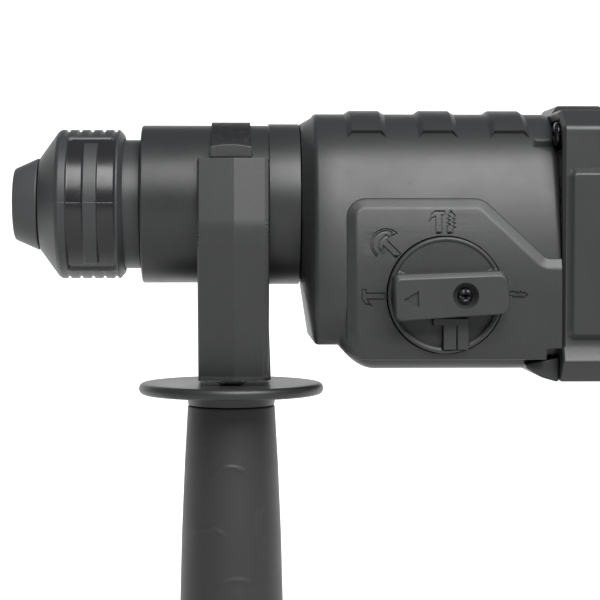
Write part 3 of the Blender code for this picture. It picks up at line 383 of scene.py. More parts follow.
def barrel_point(normal):
    """Where the barrel's right side has a normal this many degrees above the horizontal."""
    y, z, start = BARREL_HALF_WIDTH, WIDEST_Z, 0
    for end, radius in ARCS_UP if normal > 0 else ARCS_DOWN:
        turned = math.radians(min(normal, end) if normal > 0 else max(normal, end))
        y += radius * (math.cos(turned) - math.cos(math.radians(start)))
        z += radius * (math.sin(turned) - math.sin(math.radians(start)))
        start = end
        if abs(normal) <= abs(end):
            break
    return y, z


def barrel_side(z):
    """How far the barrel's side stands from its middle at a height near the panel."""
    radius = (ARCS_UP if z > WIDEST_Z else ARCS_DOWN)[0][1]
    return BARREL_HALF_WIDTH - radius + math.sqrt(radius ** 2 - (z - WIDEST_Z) ** 2)


def housing_ring(x, inset=0.0):
    """The section at some place along, with the underside's step."""
    share = min(max((x - STEP_START) / (STEP_END - STEP_START), 0), 1)
    share = 1 - (1 - share) ** 2
    bottom = NOSE_BOTTOM + (HOUSING_BOTTOM - NOSE_BOTTOM) * share
    squeeze = (WIDEST_Z - bottom) / (WIDEST_Z - HOUSING_BOTTOM)
    right = []
    for normal in [*range(-90, 0, 5), *np.arange(0, 14, 2), *range(14, 91, 4)]:
        y, z = barrel_point(float(normal))
        if z < WIDEST_Z:
            z = WIDEST_Z + (z - WIDEST_Z) * squeeze
        turned = math.radians(normal)
        right.append((x, y - inset * math.cos(turned), z - inset * math.sin(turned)))
    return right + other_side(right)


def other_side(points):
    """The points mirrored to the tool's other side, in the reverse order."""
    return [(x, -y, z) for x, y, z in reversed(points)]


def round_ring(x, radius, pattern):
    """A circle about the spindle, with its points in line with those of another ring."""
    sizes = [math.hypot(y, z) for _, y, z in pattern]
    return [(x, y * radius / size, z * radius / size)
            for (_, y, z), size in zip(pattern, sizes)]


def settled(piece):
    """The piece with its modifiers made part of a plain mesh."""
    bpy.context.view_layer.update()
    graph = bpy.context.evaluated_depsgraph_get()
    mesh = bpy.data.meshes.new_from_object(piece.evaluated_get(graph))
    mesh.validate()
    piece.modifiers.clear()
    piece.data = mesh
    return piece


def carved(piece, *tools, operation="DIFFERENCE", sharp=35):
    """The piece with the tools cut from it, or joined to it. The tools are used up."""
    for tool in tools:
        modifier = piece.modifiers.new("Cut", "BOOLEAN")
        modifier.operation = operation
        modifier.object = tool
        modifier.solver = "EXACT"
    settled(piece)
    for tool in tools:
        bpy.data.objects.remove(tool)
    piece.data.shade_smooth()
    piece.data.set_sharp_from_angle(angle=math.radians(sharp))
    return piece


def eased(piece, width, segments=2, angle=35):
    """Breaks the piece's sharp edges and keeps its flat faces flat in the light."""
    bevel = piece.modifiers.new("Bevel", "BEVEL")
    bevel.width = width
    bevel.segments = segments
    bevel.limit_method = "ANGLE"
    bevel.angle_limit = math.radians(angle)
    bevel.harden_normals = False
    settled(piece)
    return flat_lit(piece)


def flat_lit(piece, sharp=50):
    piece.data.shade_smooth()
    piece.data.set_sharp_from_angle(angle=math.radians(sharp))
    weighted = piece.modifiers.new("Weighted normals", "WEIGHTED_NORMAL")
    weighted.keep_sharp = True
    return settled(piece)


def rod(centre, radius, low, high, axis, turns=48):
    """A plain round bar, for cutting or joining."""
    return spun("rod", [(low, 0), (low, radius), (high, radius), (high, 0)], None,
                axis=axis, place=centre, turns=turns)


def prism(name, outline, low, high, plane, finish=None):
    """A flat outline given thickness. On XZ it lies in X and Z, and on YZ in Y and Z."""
    rings = [[(u, level, v) if plane == "XZ" else (level, u, v) for u, v in outline]
             for level in (low, high)]
    return skin(name, rings, finish)


def block(x, y, z):
    """A plain box, for cutting, from its low and high place along each axis."""
    return prism("block", [(x[0], z[0]), (x[1], z[0]), (x[1], z[1]), (x[0], z[1])], *y, "XZ")


def centre_of(node):
    """The middle of a plain solid's box."""
    low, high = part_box(node)
    return (low + high) / 2


face_ring = housing_ring(HOUSING_FACE_X)
NECK_JOINT_X = neck_high.x + 0.0003
FRONT_WALL_X, FRONT_HOLE_RADIUS = 0.0432, 0.0170
outer_rings = [round_ring(NECK_JOINT_X, RING_RADIUS, face_ring)]
outer_rings += [housing_ring(HOUSING_FACE_X + ahead, inset)
                for ahead, inset in ((-0.0007, 0.0012), (-0.0003, 0.0006), (0.0002, 0.0002))]
outer_rings += [housing_ring(x) for x in (
    HOUSING_FACE_X + 0.0008, *np.linspace(STEP_START, STEP_END, 15), 0.078, 0.096, 0.1055,
    HOUSING_REAR_X - 0.0018, HOUSING_REAR_X - 0.0006)]
outer_rings += [housing_ring(HOUSING_REAR_X, 0.0005)]
inner_rings = [housing_ring(x, WALL) for x in (
    HOUSING_REAR_X, 0.096, 0.078, *np.linspace(STEP_END, STEP_START, 7), FRONT_WALL_X)]
inner_rings += [round_ring(x, FRONT_HOLE_RADIUS, face_ring) for x in (FRONT_WALL_X, NECK_JOINT_X)]
housing = skin("gear_housing_shell", outer_rings + inner_rings, housing_plastic, loop=True)

lug_profile = rounded([(0.1030, -0.0490, 0), (0.1035, -0.0504, 0.001), (0.1080, -0.0532, 0.006),
                       (0.1125, LUG_BOTTOM, 0.002), (HOUSING_REAR_X, LUG_BOTTOM, 0),
                       (HOUSING_REAR_X, -0.0470, 0)])
lug = prism("lug", lug_profile, -0.0325, 0.0325, "XZ")
carved(housing, eased(lug, 0.0008), operation="UNION")

DIAL_RADIUS, DIAL_X, DIAL_Z = 0.0175, 0.078, centre_of("selector_dial").z
FLANGE_SCREWS = ["flange_screw_" + corner
                 for corner in ("upper_left", "upper_right", "lower_left", "lower_right")]
flange_heads = [(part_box(node)[0].x, *centre_of(node).yz) for node in FLANGE_SCREWS]
POCKET_RADIUS = 0.0046


def dial_room():
    """The tool that makes room for the dial."""
    return rod((DIAL_X, 0, DIAL_Z), DIAL_RADIUS + 0.0004, -0.0450, -0.0300, "Y", 96)


carved(housing, dial_room(), *[
    rod((0, y, z), POCKET_RADIUS, x - 0.0022 if z < 0 else x - 0.004, x + 0.006, "X")
    for x, y, z in flange_heads])
fit(housing, "tool_body", "housing_plastic", "gear_housing")


# ------------------------------------------------------------------ top ribs
# Three shallow pads across the housing's crown, one moulding with it. Their ends are cut
# at a slant and stop above the housing's sides.


def grown(name, build, sizes, finish):
    """A piece from a Geometry Nodes tree with named sizes, made a plain mesh."""
    tree = bpy.data.node_groups.new(name, "GeometryNodeTree")
    labels = {label: tree.interface.new_socket(label, in_out="INPUT",
                                               socket_type="NodeSocketFloat")
              for label in sizes}
    tree.interface.new_socket("Geometry", in_out="OUTPUT", socket_type="NodeSocketGeometry")
    entry = tree.nodes.new("NodeGroupInput")
    shape = build(Wire(tree), {label: Wire(tree, entry.outputs[label]) for label in sizes})
    real = shape.node("GeometryNodeRealizeInstances", None, {"Geometry": shape})
    painted = shape.node("GeometryNodeSetMaterial", None, {"Geometry": real, "Material": finish})
    leave = tree.nodes.new("NodeGroupOutput")
    tree.links.new(painted.socket, leave.inputs[0])
    piece = bpy.data.objects.new(name, bpy.data.meshes.new(name))
    bpy.context.scene.collection.objects.link(piece)
    modifier = piece.modifiers.new(name, "NODES")
    modifier.node_group = tree
    for label, value in sizes.items():
        modifier[labels[label].identifier] = value
    return settled(piece)


def vector(root, x, y, z):
    return root.node("ShaderNodeCombineXYZ", None, {"X": x, "Y": y, "Z": z})


RIB_XS = (0.0553, 0.0774, 0.0995)
RIB_HALF_LENGTH = 0.0068
RIB_RISE, RIB_SLOPE = 0.0011, 0.0022


def rib_ring(x, rise, lowest):
    """One section of a rib: the housing's crown lifted by the rise, down to a normal's angle."""
    over, under = [], []
    for normal in np.linspace(lowest, 90, 16):
        y, z = barrel_point(normal)
        turned = math.radians(normal)
        over.append((x, y + rise * math.cos(turned), z + rise * math.sin(turned)))
        under.append((x, y - 0.002 * math.cos(turned), z - 0.002 * math.sin(turned)))
    half, inner = under[:1] + over, under[:0:-1]
    return half + other_side(half) + other_side(inner) + inner


for number, rib_x in enumerate(RIB_XS):
    front, rear = rib_x - RIB_HALF_LENGTH, rib_x + RIB_HALF_LENGTH
    rib = skin(f"crown_rib_{number + 1}", [
        rib_ring(front, -0.0004, 43), rib_ring(front + RIB_SLOPE, RIB_RISE, 50),
        rib_ring(rear - RIB_SLOPE, RIB_RISE, 50), rib_ring(rear, -0.0004, 43)],
        housing_plastic, sharp=20)
    fit(rib, "tool_body", "housing_plastic")


# ------------------------------------------------------------------ selector panel
# The raised field round the mode dial, one moulding with the housing. Its border is a broad
# chamfer, and a drill bit, a drill with a hammer, and two hammers are sunk into its face.

PANEL_RISE = 0.0013
PANEL_FACE_Y = -BARREL_HALF_WIDTH - PANEL_RISE
CHAMFER = 0.0031
STRIP_DROP = 0.0016
panel_face = [(0.0513, -0.0428, 0.0035), (0.1180, -0.0428, 0.0010), (0.1180, -0.0198, 0.0010),
              (0.1077, -0.0198, 0.0050), (0.0886, -0.0016, 0.0040), (0.0513, -0.0016, 0.0030)]


def widened(corners, distance):
    """The corners moved out of the shape by a distance, with their radii grown to match."""
    following = corners[1:] + corners[:1]
    area = sum(a[0] * b[1] - a[1] * b[0] for a, b in zip(corners, following))
    moved = []
    for i, (u, v, radius) in enumerate(corners):
        here = Vector((u, v))
        before = (Vector(corners[i - 1][:2]) - here).normalized()
        after = (Vector(corners[(i + 1) % len(corners)][:2]) - here).normalized()
        hollow = (here - Vector(corners[i - 1][:2])).cross(after) * area < 0
        shift = (before + after).normalized() * (distance / math.sin(before.angle(after) / 2))
        shift = -shift if hollow else shift
        moved.append((u - shift.x, v - shift.y, max(radius + (-distance if hollow else distance),
                                                    0.0004)))
    return moved


def panel_ring(corners, level, drop=0.0):
    return [(x, level, z - (drop if z < -0.0430 else 0))
            for x, z in rounded(corners, steps=8)]


def bowed(piece):
    """The flat-made panel bent to the barrel's side, cut into strips so that it bends cleanly."""
    shape = bmesh.new()
    shape.from_mesh(piece.data)
    for height in np.arange(-0.0500, 0.0030, 0.0018):
        bmesh.ops.bisect_plane(shape, geom=shape.verts[:] + shape.edges[:] + shape.faces[:],
                               dist=0.0000005, plane_co=(0, 0, height), plane_no=(0, 0, 1))
    for vertex in shape.verts:
        vertex.co.y += BARREL_HALF_WIDTH - barrel_side(max(vertex.co.z, WIDEST_Z))
    shape.to_mesh(piece.data)
    shape.free()
    return piece


panel = skin("selector_panel", [
    panel_ring(widened(panel_face, CHAMFER), -BARREL_HALF_WIDTH + 0.0020, STRIP_DROP),
    panel_ring(widened(panel_face, CHAMFER), -BARREL_HALF_WIDTH - 0.0001, STRIP_DROP),
    panel_ring(panel_face, PANEL_FACE_Y)], housing_plastic)
eased(panel, 0.0005, 3, 12)

HAMMER = [(-0.0026, 0.0006), (-0.0022, 0.0024), (-0.0008, 0.0034), (0.0020, 0.0034),
          (0.0020, 0.0022), (0.0010, 0.0022), (0.0010, -0.0034), (-0.0008, -0.0034),
          (-0.0008, 0.0018), (-0.0018, 0.0014)]
BIT = [(-0.0008, -0.0034), (0.0009, -0.0034), (0.0009, -0.0022), (0.0017, -0.0015),
       (0.0009, -0.0012), (0.0017, -0.0003), (0.0009, 0.0000), (0.0017, 0.0009), (0.0009, 0.0012),
       (0.0017, 0.0020), (0.0004, 0.0036), (-0.0006, 0.0022), (0.0002, 0.0018), (-0.0008, 0.0010),
       (0.0002, 0.0006), (-0.0008, -0.0002), (0.0002, -0.0006), (-0.0008, -0.0014)]
TURN_ARROW = ([(0.0047 * math.cos(a), 0.0047 * math.sin(a))
               for a in np.radians(np.linspace(20, 205, 20))]
              + [(0.0041 * math.cos(a), 0.0041 * math.sin(a))
                 for a in np.radians(np.linspace(205, 40, 18))]
              + [(0.0047 * math.cos(0.45) - 0.0022, 0.0047 * math.sin(0.45) - 0.0002)])
SIGN_DEPTH = 0.0006
GROOVE_HALF_WIDTH = 0.00019


def sunk(outline, angle, x, z, size=1.0):
    """A sign's cutting tool: a groove along its outline, at a place from the dial's centre."""
    turn = Matrix.Rotation(math.radians(angle), 2)
    points = [turn @ Vector(point) * size + Vector((DIAL_X + x, DIAL_Z + z))
              for point in outline]
    outer, inner = ([(u, v) for u, v, _ in widened([(*point, 0) for point in points], grow)]
                    for grow in (GROOVE_HALF_WIDTH, -GROOVE_HALF_WIDTH))
    tool = prism("sign", outer, PANEL_FACE_Y - 0.001, PANEL_FACE_Y + SIGN_DEPTH, "XZ")
    return carved(tool, prism("sign_core", inner, PANEL_FACE_Y - 0.002,
                              PANEL_FACE_Y + SIGN_DEPTH + 0.001, "XZ"))


signs = [sunk(HAMMER, 90, -0.0218, -0.0004), sunk(HAMMER, 45, -0.0168, 0.0142, 1.05),
         sunk(TURN_ARROW, 25, -0.0178, 0.0152), sunk(HAMMER, 0, -0.0020, 0.0219),
         sunk(BIT, 0, 0.0014, 0.0219), sunk(BIT, -90, 0.0219, 0.0004, 0.8)]
screw_notch = block((0.1088, 0.1300), (-0.0450, -0.0300), (-0.0530, -0.0440))
past_end = block((HOUSING_REAR_X, 0.1300), (-0.0460, -0.0290), (-0.0600, 0.0100))
carved(panel, dial_room(), *signs, screw_notch, past_end)
fit(flat_lit(bowed(panel), 25), "tool_body", "housing_plastic")


# ------------------------------------------------------------------ mode dial
# The dial that chooses drilling, hammering or chiselling. It is one moulding with a finger
# bar across it, held by a screw, and a spring-loaded tee in its lower half frees the turn.

dial_plastic = moulded("dial_plastic", (0.026, 0.0265, 0.027), 0.46)
DIAL_FACE_Y, DIAL_BAR_Y = -0.0395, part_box("selector_dial")[0].y
BAR_TILT = math.radians(2.6)
SCREW_X = DIAL_X + 0.0052


def on_dial(points):
    """Outline points given from the dial's centre, turned by the bar's slight tilt."""
    turn = Matrix.Rotation(BAR_TILT, 2)
    return [tuple(turn @ Vector(point) + Vector((DIAL_X, DIAL_Z))) for point in points]


def level_ring(points, level):
    return [(x, level, z) for x, z in points]


dial = spun("mode_dial", rounded([
    (DIAL_FACE_Y + 0.0004, 0, 0), (DIAL_FACE_Y + 0.0004, 0.0160, 0), (DIAL_FACE_Y, 0.0165, 0),
    (DIAL_FACE_Y, DIAL_RADIUS, 0.0007),
    (-0.0338, DIAL_RADIUS, 0), (-0.0338, 0.0072, 0), (-0.0318, 0.0072, 0), (-0.0318, 0, 0)],
    closed=False), dial_plastic, axis="Y", place=(DIAL_X, 0, DIAL_Z), turns=128)
bar_top = rounded([(-0.0156, -0.0067, 0.0018), (0.0176, -0.0060, 0.0026), (0.0182, 0.0, 0.02),
                   (0.0176, 0.0052, 0.0026), (-0.0156, 0.0054, 0.0018)])
bar_foot = rounded([(-0.0161, -0.0069, 0.0018), (0.0177, -0.0062, 0.0026), (0.0183, 0.0, 0.02),
                    (0.0178, 0.0067, 0.0026), (-0.0161, 0.0071, 0.0018)])
bar = skin("bar", [level_ring(on_dial(bar_foot), DIAL_FACE_Y + 0.0020),
                   level_ring(on_dial(bar_foot), DIAL_BAR_Y + 0.0012),
                   level_ring(on_dial(bar_top), DIAL_BAR_Y)], dial_plastic)
eased(bar, 0.0003, 2, 20)
well_arc = [(0.0158 * math.cos(a), 0.0158 * math.sin(a))
            for a in np.radians(np.linspace(203, 337, 24))]
well = prism("well", on_dial(well_arc), DIAL_FACE_Y - 0.001, DIAL_FACE_Y + 0.0022, "XZ")
arrow = prism("arrow", on_dial([(-0.0134, -0.0005), (-0.0088, -0.0029), (-0.0088, 0.0019)]),
              DIAL_BAR_Y - 0.001, DIAL_BAR_Y + 0.0009, "XZ")
tee_low, tee_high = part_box("selector_lock_button")
STEM_X = DIAL_X - 0.0008
tee_outline = [(tee_low.x, tee_high.z, 0), (tee_low.x, tee_high.z - 0.0020, 0),
               (STEM_X, tee_high.z - 0.0020, 0), (STEM_X, tee_low.z, 0),
               (tee_high.x, tee_low.z, 0), (tee_high.x, tee_high.z, 0)]
tee_hole = prism("tee_hole", [point[:2] for point in widened(tee_outline, 0.0002)],
                 -0.0450, -0.0352, "XZ")
screw_well = spun("screw_well", [(DIAL_BAR_Y - 0.002, 0), (DIAL_BAR_Y - 0.002, 0.0039),
                                 (DIAL_BAR_Y, 0.0039), (DIAL_BAR_Y + 0.0016, 0.0030),
                                 (DIAL_BAR_Y + 0.0029, 0.0028), (DIAL_BAR_Y + 0.0029, 0)],
                  None, axis="Y", place=(SCREW_X, 0, DIAL_Z), turns=64)
carved(dial, well)
carved(dial, bar, operation="UNION")
carved(dial, arrow, tee_hole, screw_well, sharp=28)
fit(flat_lit(dial, 28), "selector", "housing_plastic", "selector_dial")

tee = prism("dial_release_tee", [point[:2] for point in tee_outline], tee_low.y, tee_high.y, "XZ",
            dial_plastic)
GROOVE_X = DIAL_X + 0.0030
groove = block((GROOVE_X, GROOVE_X + 0.0005), (tee_low.y - 0.001, tee_low.y + 0.0009),
               (tee_low.z - 0.001, tee_high.z - 0.0022))
carved(eased(tee, 0.0002), groove)
fit(flat_lit(tee), "selector_lock", "housing_plastic", "selector_lock_button")


# ------------------------------------------------------------------ cross-head screws
# The dial's screw, the four flange screws and the four handle screws. Each is black-oxide
# steel with a domed head and a stamped cross, driven into brass inserts or moulded posts.

black_oxide, place, shader = start_finish("black_oxide_steel", 0.24, 0.85)
rubbed = place.noise(900.0, 4.0, 0.7).between(0.45, 0.75)
feed(shader, "Base Color", rubbed.mixed((0.018, 0.018, 0.020), (0.10, 0.10, 0.105)))
feed(shader, "Roughness", 0.20 + rubbed * 0.18)
feed_bump(shader, place.noise(1500.0, 2.0, 0.5), 0.000006)


def screws(name, heads, radius, axis, finish):
    """Like screw heads, domed and with a cross. Each stands at the middle of its face."""
    def build(root, size):
        flank = size["Head radius"]
        dome = root.node("GeometryNodeMeshUVSphere", None,
                         {"Segments": 32, "Rings": 16, "Radius": flank})
        flatten = root.node("GeometryNodeTransform", None, {
            "Geometry": dome, "Scale": vector(root, 1.0, 1.0, size["Dome share"])})
        blade = root.node("GeometryNodeMeshCube", None, {
            "Size": vector(root, flank * 1.5, flank * 0.32, flank * 0.62)})
        other = root.node("GeometryNodeTransform", None, {
            "Geometry": blade, "Rotation": (0.0, 0.0, math.pi / 2)})
        recess = root.node("GeometryNodeMeshBoolean", {"operation": "UNION"}, {"Mesh 2": blade})
        recess.also("Mesh 2", other)
        raised = root.node("GeometryNodeTransform", None, {
            "Geometry": recess, "Translation": vector(root, 0.0, 0.0, flank * size["Dome share"])})
        head = root.node("GeometryNodeMeshBoolean", {"operation": "DIFFERENCE"},
                         {"Mesh 1": flatten, "Mesh 2": raised})
        turned = root.node("GeometryNodeTransform", None, {
            "Geometry": head, "Rotation": (0, -math.pi / 2, 0.0) if axis == "X"
            else (math.pi / 2, 0, 0.0)})
        spots = root.node("GeometryNodeJoinGeometry")
        for spot in heads:
            spots.also("Geometry", root.node("GeometryNodePoints", None,
                                             {"Count": 1, "Position": spot}))
        return root.node("GeometryNodeInstanceOnPoints", None,
                         {"Points": spots, "Instance": turned})
    return flat_lit(grown(name, build, {"Head radius": radius, "Dome share": 0.45}, finish))


screw_low, screw_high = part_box("selector_screw")
DOME_BELOW_TOP = 0.0012
fit(screws("dial_screw", [(SCREW_X, screw_low.y + DOME_BELOW_TOP, DIAL_Z)],
           (screw_high.z - screw_low.z) / 2, "Y", black_oxide),
    "selector", "black_steel", "selector_screw")
fit(screws("flange_screws", [(x + 0.0016, y, z) for x, y, z in flange_heads], 0.0036, "X",
           black_oxide), "tool_body", "black_steel", *FLANGE_SCREWS)
HANDLE_SCREWS = ["handle_screw_" + spot
                 for spot in ("top_front", "top_rear", "bottom_rear", "bottom_front")]
handle_heads = [(centre_of(node).x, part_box(node)[0].y + DOME_BELOW_TOP, centre_of(node).z)
                for node in HANDLE_SCREWS]
fit(screws("handle_screws", handle_heads, 0.0034, "Y", black_oxide),
    "tool_body", "black_steel", *HANDLE_SCREWS)


# ------------------------------------------------------------------ motor housing
# The shell over the motor, bolted behind the gear housing. Its flange is boxy with a chamfer
# at each shoulder, a flat pad stands on each side, and slots let the cooling air through.

motor_plastic = moulded("motor_nylon", (0.022, 0.0225, 0.023), 0.43)
motor_low, motor_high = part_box("motor_housing")
MOTOR_FRONT_X, MOTOR_REAR_X = motor_low.x, motor_high.x
MOTOR_SHAFT_Z = centre_of("armature_core").z
FLANGE_REAR_X = 0.1345


def boxy(half_width, bottom, top, inset=0.0, ease=0.0012):
    """The motor housing's section: flat sides, a chamfer at each shoulder and lower corner."""
    side, low, high = inset - half_width, bottom + inset, top - inset
    half = [(side + 0.0095, high, ease * 2), (side, high - 0.0055, ease * 2),
            (side, low + 0.0088, ease), (side + 0.0100, low, ease * 2)]
    return rounded(half + [(-y, z, radius) for y, z, radius in reversed(half)], steps=4)


def motor_ring(x, inset=0.0):
    """One section of the motor housing, which tapers slightly behind its flange."""
    back = (x - FLANGE_REAR_X) / (MOTOR_REAR_X - FLANGE_REAR_X)
    sizes = ((0.0375, LUG_BOTTOM, 0.0285) if back <= 0 else
             (0.0368 - 0.0008 * back, -0.0530 - 0.001 * back, 0.0275 - 0.0005 * back))
    return [(x, y, z) for y, z in boxy(*sizes, inset)]


REAR_WALL_X, REAR_HOLE_RADIUS = MOTOR_REAR_X - 0.0060, 0.0098
motor_outside = [motor_ring(x, inset) for x, inset in (
    (MOTOR_FRONT_X, 0.0009), (MOTOR_FRONT_X + 0.0009, 0), (FLANGE_REAR_X - 0.0008, 0),
    (FLANGE_REAR_X, 0.0004), (FLANGE_REAR_X + 0.0012, 0), (MOTOR_REAR_X - 0.0006, 0),
    (MOTOR_REAR_X, 0.0006))]
rear_hole = [[(x, y, z + MOTOR_SHAFT_Z)
              for _, y, z in round_ring(x, REAR_HOLE_RADIUS, motor_ring(x))]
             for x in (MOTOR_REAR_X, REAR_WALL_X)]
motor_inside = [motor_ring(x, WALL)
                for x in (REAR_WALL_X, FLANGE_REAR_X + 0.0010, MOTOR_FRONT_X)]
motor = skin("motor_housing_shell", motor_outside + rear_hole + motor_inside, motor_plastic,
             loop=True, sharp=24)


def side_pad(sense):
    """The flat pad on one side, with a bevelled edge that starts at the flange."""
    corners = [(0.1166, -0.0396, 0.001), (0.1990, -0.0396, 0.008), (0.2080, 0.0086, 0.008),
               (0.1166, 0.0086, 0.001)]
    levels = [(0.0340, 0.0030), (0.0366, 0.0028), (motor_high.y, 0)]
    return skin("pad", [level_ring(rounded(widened(corners, grow)), sense * level)
                        for level, grow in levels], motor_plastic)


def lower_flange(sense):
    """The thick lower edge of the flange, which leans out above and in below."""
    corners = [(0.0362, -0.0411), (0.0393, -0.0480), (0.0330, LUG_BOTTOM), (0.0200, LUG_BOTTOM),
               (0.0200, -0.0411)]
    return prism("lower_flange", [(sense * y, z) for y, z in corners], MOTOR_FRONT_X,
                 0.2095, "YZ", motor_plastic)


hump_profile = rounded([(MOTOR_FRONT_X + 0.0005, 0.0200, 0), (MOTOR_FRONT_X + 0.0005, 0.0283, 0.0004),
                        (0.1156, 0.0307, 0.0012), (0.1290, 0.0307, 0.0015), (0.1335, 0.0272, 0.001),
                        (0.1335, 0.0200, 0)])
hump = eased(prism("hump", hump_profile, -0.0130, 0.0130, "XZ", motor_plastic), 0.0016, 3)
carved(motor, hump, *[eased(side_pad(s), 0.0005, 2, 20) for s in (-1, 1)],
       *[eased(lower_flange(s), 0.0006, 2, 20) for s in (-1, 1)], operation="UNION")
INTAKE = [(0.1480 + 0.0056 * i, 0.0135, 0.0190) for i in range(9)]
VENT_HALF_WIDTH = 0.0013


def slot_tool(x, low, high):
    """A round-ended slot right across the tool."""
    ends = [(x + VENT_HALF_WIDTH * math.cos(a), end + VENT_HALF_WIDTH * math.sin(a))
            for end, first in ((high, 0), (low, math.pi))
            for a in np.linspace(first, first + math.pi, 9)]
    return prism("slot", ends, -0.06, 0.06, "XZ")


carved(motor, *[slot_tool(*vent) for vent in INTAKE],
       *[rod((0, y, z), POCKET_RADIUS, x - 0.004, x + 0.0024, "X") for x, y, z in flange_heads],
       sharp=24)
fit(flat_lit(motor, 24), "tool_body", "housing_plastic", "motor_housing")


# ------------------------------------------------------------------ rear D-handle
# Two nylon half shells screwed together, left on right, with the cover behind the motor in one
# piece with them. They hold the trigger, the switch and the cable gland.

handle_plastic = moulded("handle_nylon", (0.021, 0.0215, 0.022), 0.46)
HANDLE_FRONT_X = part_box("handle_shell_left")[0].x
HANDLE_HALF_WIDTH, HANDLE_EDGE = 0.0155, 0.0048
HANDLE_CORNERS = [
    (HANDLE_FRONT_X + 0.0005, 0.0235, 0.001), (0.2620, 0.0296, 0.030), (0.3000, 0.0258, 0.018),
    (0.3183, 0.0020, 0.018), (0.3183, -0.0640, 0.024), (0.3038, -0.1072, 0.014),
    (0.2420, -0.1072, 0.020), (HANDLE_FRONT_X + 0.0005, -0.0775, 0.001)]
HAND_GAP_CORNERS = [
    (0.2430, -0.0070, 0.010), (0.2830, -0.0090, 0.009), (0.2880, -0.0400, 0.010),
    (0.2860, -0.0850, 0.010), (0.2520, -0.0850, 0.012), (0.2420, -0.0600, 0.012)]


def cushioned(name, outline, half_width, edge, finish, steps=6):
    """A flat shape whose rim is rounded over on both sides."""
    rings = []
    turns = np.linspace(math.pi / 2, -math.pi / 2, 2 * steps + 1)
    for turn in turns:
        level = math.sin(turn) * edge + math.copysign(half_width - edge, math.sin(turn))
        if abs(turn) < 0.01:
            rings.append(level_ring(rounded(outline, steps=8), half_width - edge))
            level = -(half_width - edge)
        inset = edge * (1 - math.cos(turn))
        rings.append(level_ring(rounded(widened(outline, -inset), steps=8), level))
    return skin(name, rings, finish)


# The cover's sections: place along, half width, bottom and top.
COVER = ((HANDLE_FRONT_X, 0.0358, -0.0538, 0.0268), (0.2225, 0.0352, -0.0534, 0.0267),
         (0.2260, 0.0338, -0.0526, 0.0264), (0.2300, 0.0312, -0.0516, 0.0260),
         (0.2340, 0.0276, -0.0504, 0.0254), (0.2375, 0.0236, -0.0490, 0.0246),
         (0.2400, 0.0196, -0.0474, 0.0236))


def rear_cover(inset=0.0):
    return skin("rear_cover", [[(x, y, z) for y, z in boxy(half_width, low, high, inset)]
                               for x, half_width, low, high in COVER], handle_plastic)


def hand_gap():
    """The tool that cuts the hand's gap. It widens towards both faces, to round the rim."""
    turns = np.linspace(0, math.pi / 2, 7)
    steps = [(HANDLE_EDGE, -0.03)] + [
        (HANDLE_EDGE * (1 - math.sin(turn)), HANDLE_EDGE * (1 - math.cos(turn)) - HANDLE_HALF_WIDTH)
        for turn in turns]
    outlines = [rounded(widened(HAND_GAP_CORNERS, grow), steps=8) for grow, _ in steps]
    levels = [level for _, level in steps]
    return skin("hand_gap", [level_ring(outline, level) for outline, level in
                             zip(outlines + outlines[::-1],
                                 levels + [-level for level in reversed(levels)])], None)


def handle_half(side, sense):
    shell = cushioned(f"handle_half_{side}", HANDLE_CORNERS, HANDLE_HALF_WIDTH, HANDLE_EDGE,
                      handle_plastic)
    carved(shell, rear_cover(), operation="UNION")
    cavity = prism("cavity", rounded(widened(HANDLE_CORNERS, -WALL)), -0.0125, 0.0125, "XZ")
    carved(cavity, prism("gap_wall", rounded(widened(HAND_GAP_CORNERS, WALL)), -0.02, 0.02, "XZ"))
    cover_cavity = rear_cover(WALL)
    cover_cavity.data.transform(Matrix.Translation((-0.0015, 0, 0)))
    trigger_slot = block((0.2770, 0.2945), (-0.0074, 0.0074), (-0.0540, -0.0112))
    tools = [hand_gap(), cavity, cover_cavity, trigger_slot,
             rod((0.2840, 0, 0.0060), 0.0044, -0.03, 0.03, "Y"),
             rod((0.2760, 0, 0), 0.0054, -0.12, -0.09, "Z")]
    if side == "left":
        tools += [rod((0.3040, 0, -0.0280), 0.0050, -0.03, -0.01, "Y")]
        tools += [rod((x, 0, z), 0.0039, -0.03, -0.0130, "Y") for x, _, z in handle_heads]
    other_half = block((0.20, 0.34), sorted((0.00012 * sense, -0.06 * sense)), (-0.13, 0.06))
    carved(shell, *tools, other_half)
    fit(flat_lit(shell, 30), "tool_body", "housing_plastic", "handle_shell_" + side)


handle_half("left", -1)
handle_half("right", 1)


# ------------------------------------------------------------------ handle fittings
# What the two half shells hold: the trigger, the red lock-on button, the cross-bolt that
# chooses the turning direction, the soft pad behind the palm, and the rubber cable gland.

button_red = moulded("button_red_plastic", (0.36, 0.028, 0.022), 0.40, depth=0.000012)
soft_rubber = moulded("soft_rubber", (0.020, 0.020, 0.0205), 0.60, grain=0.00028, depth=0.00002)
trigger_low, trigger_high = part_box("trigger")
TRIGGER_OUTLINE = [(0.2765, -0.0150, 0.003), (0.2925, -0.0130, 0.001), (0.2925, -0.0520, 0.001),
                   (0.2785, -0.0510, 0.004), (0.2735, -0.0300, 0.020)]
trigger = cushioned("trigger_lever", TRIGGER_OUTLINE, trigger_high.y, 0.0018, handle_plastic, 3)
carved(trigger, *[block((0.2700, trigger_low.x + 0.0028), (-0.0048, 0.0048), (z, z + 0.0007))
                  for z in np.arange(-0.0440, -0.0190, 0.0026)])
fit(flat_lit(trigger), "trigger_set", "housing_plastic", "trigger")


def cross_place(node):
    """Where a button's line crosses the tool's middle plane."""
    x, _, z = centre_of(node)
    return x, 0, z


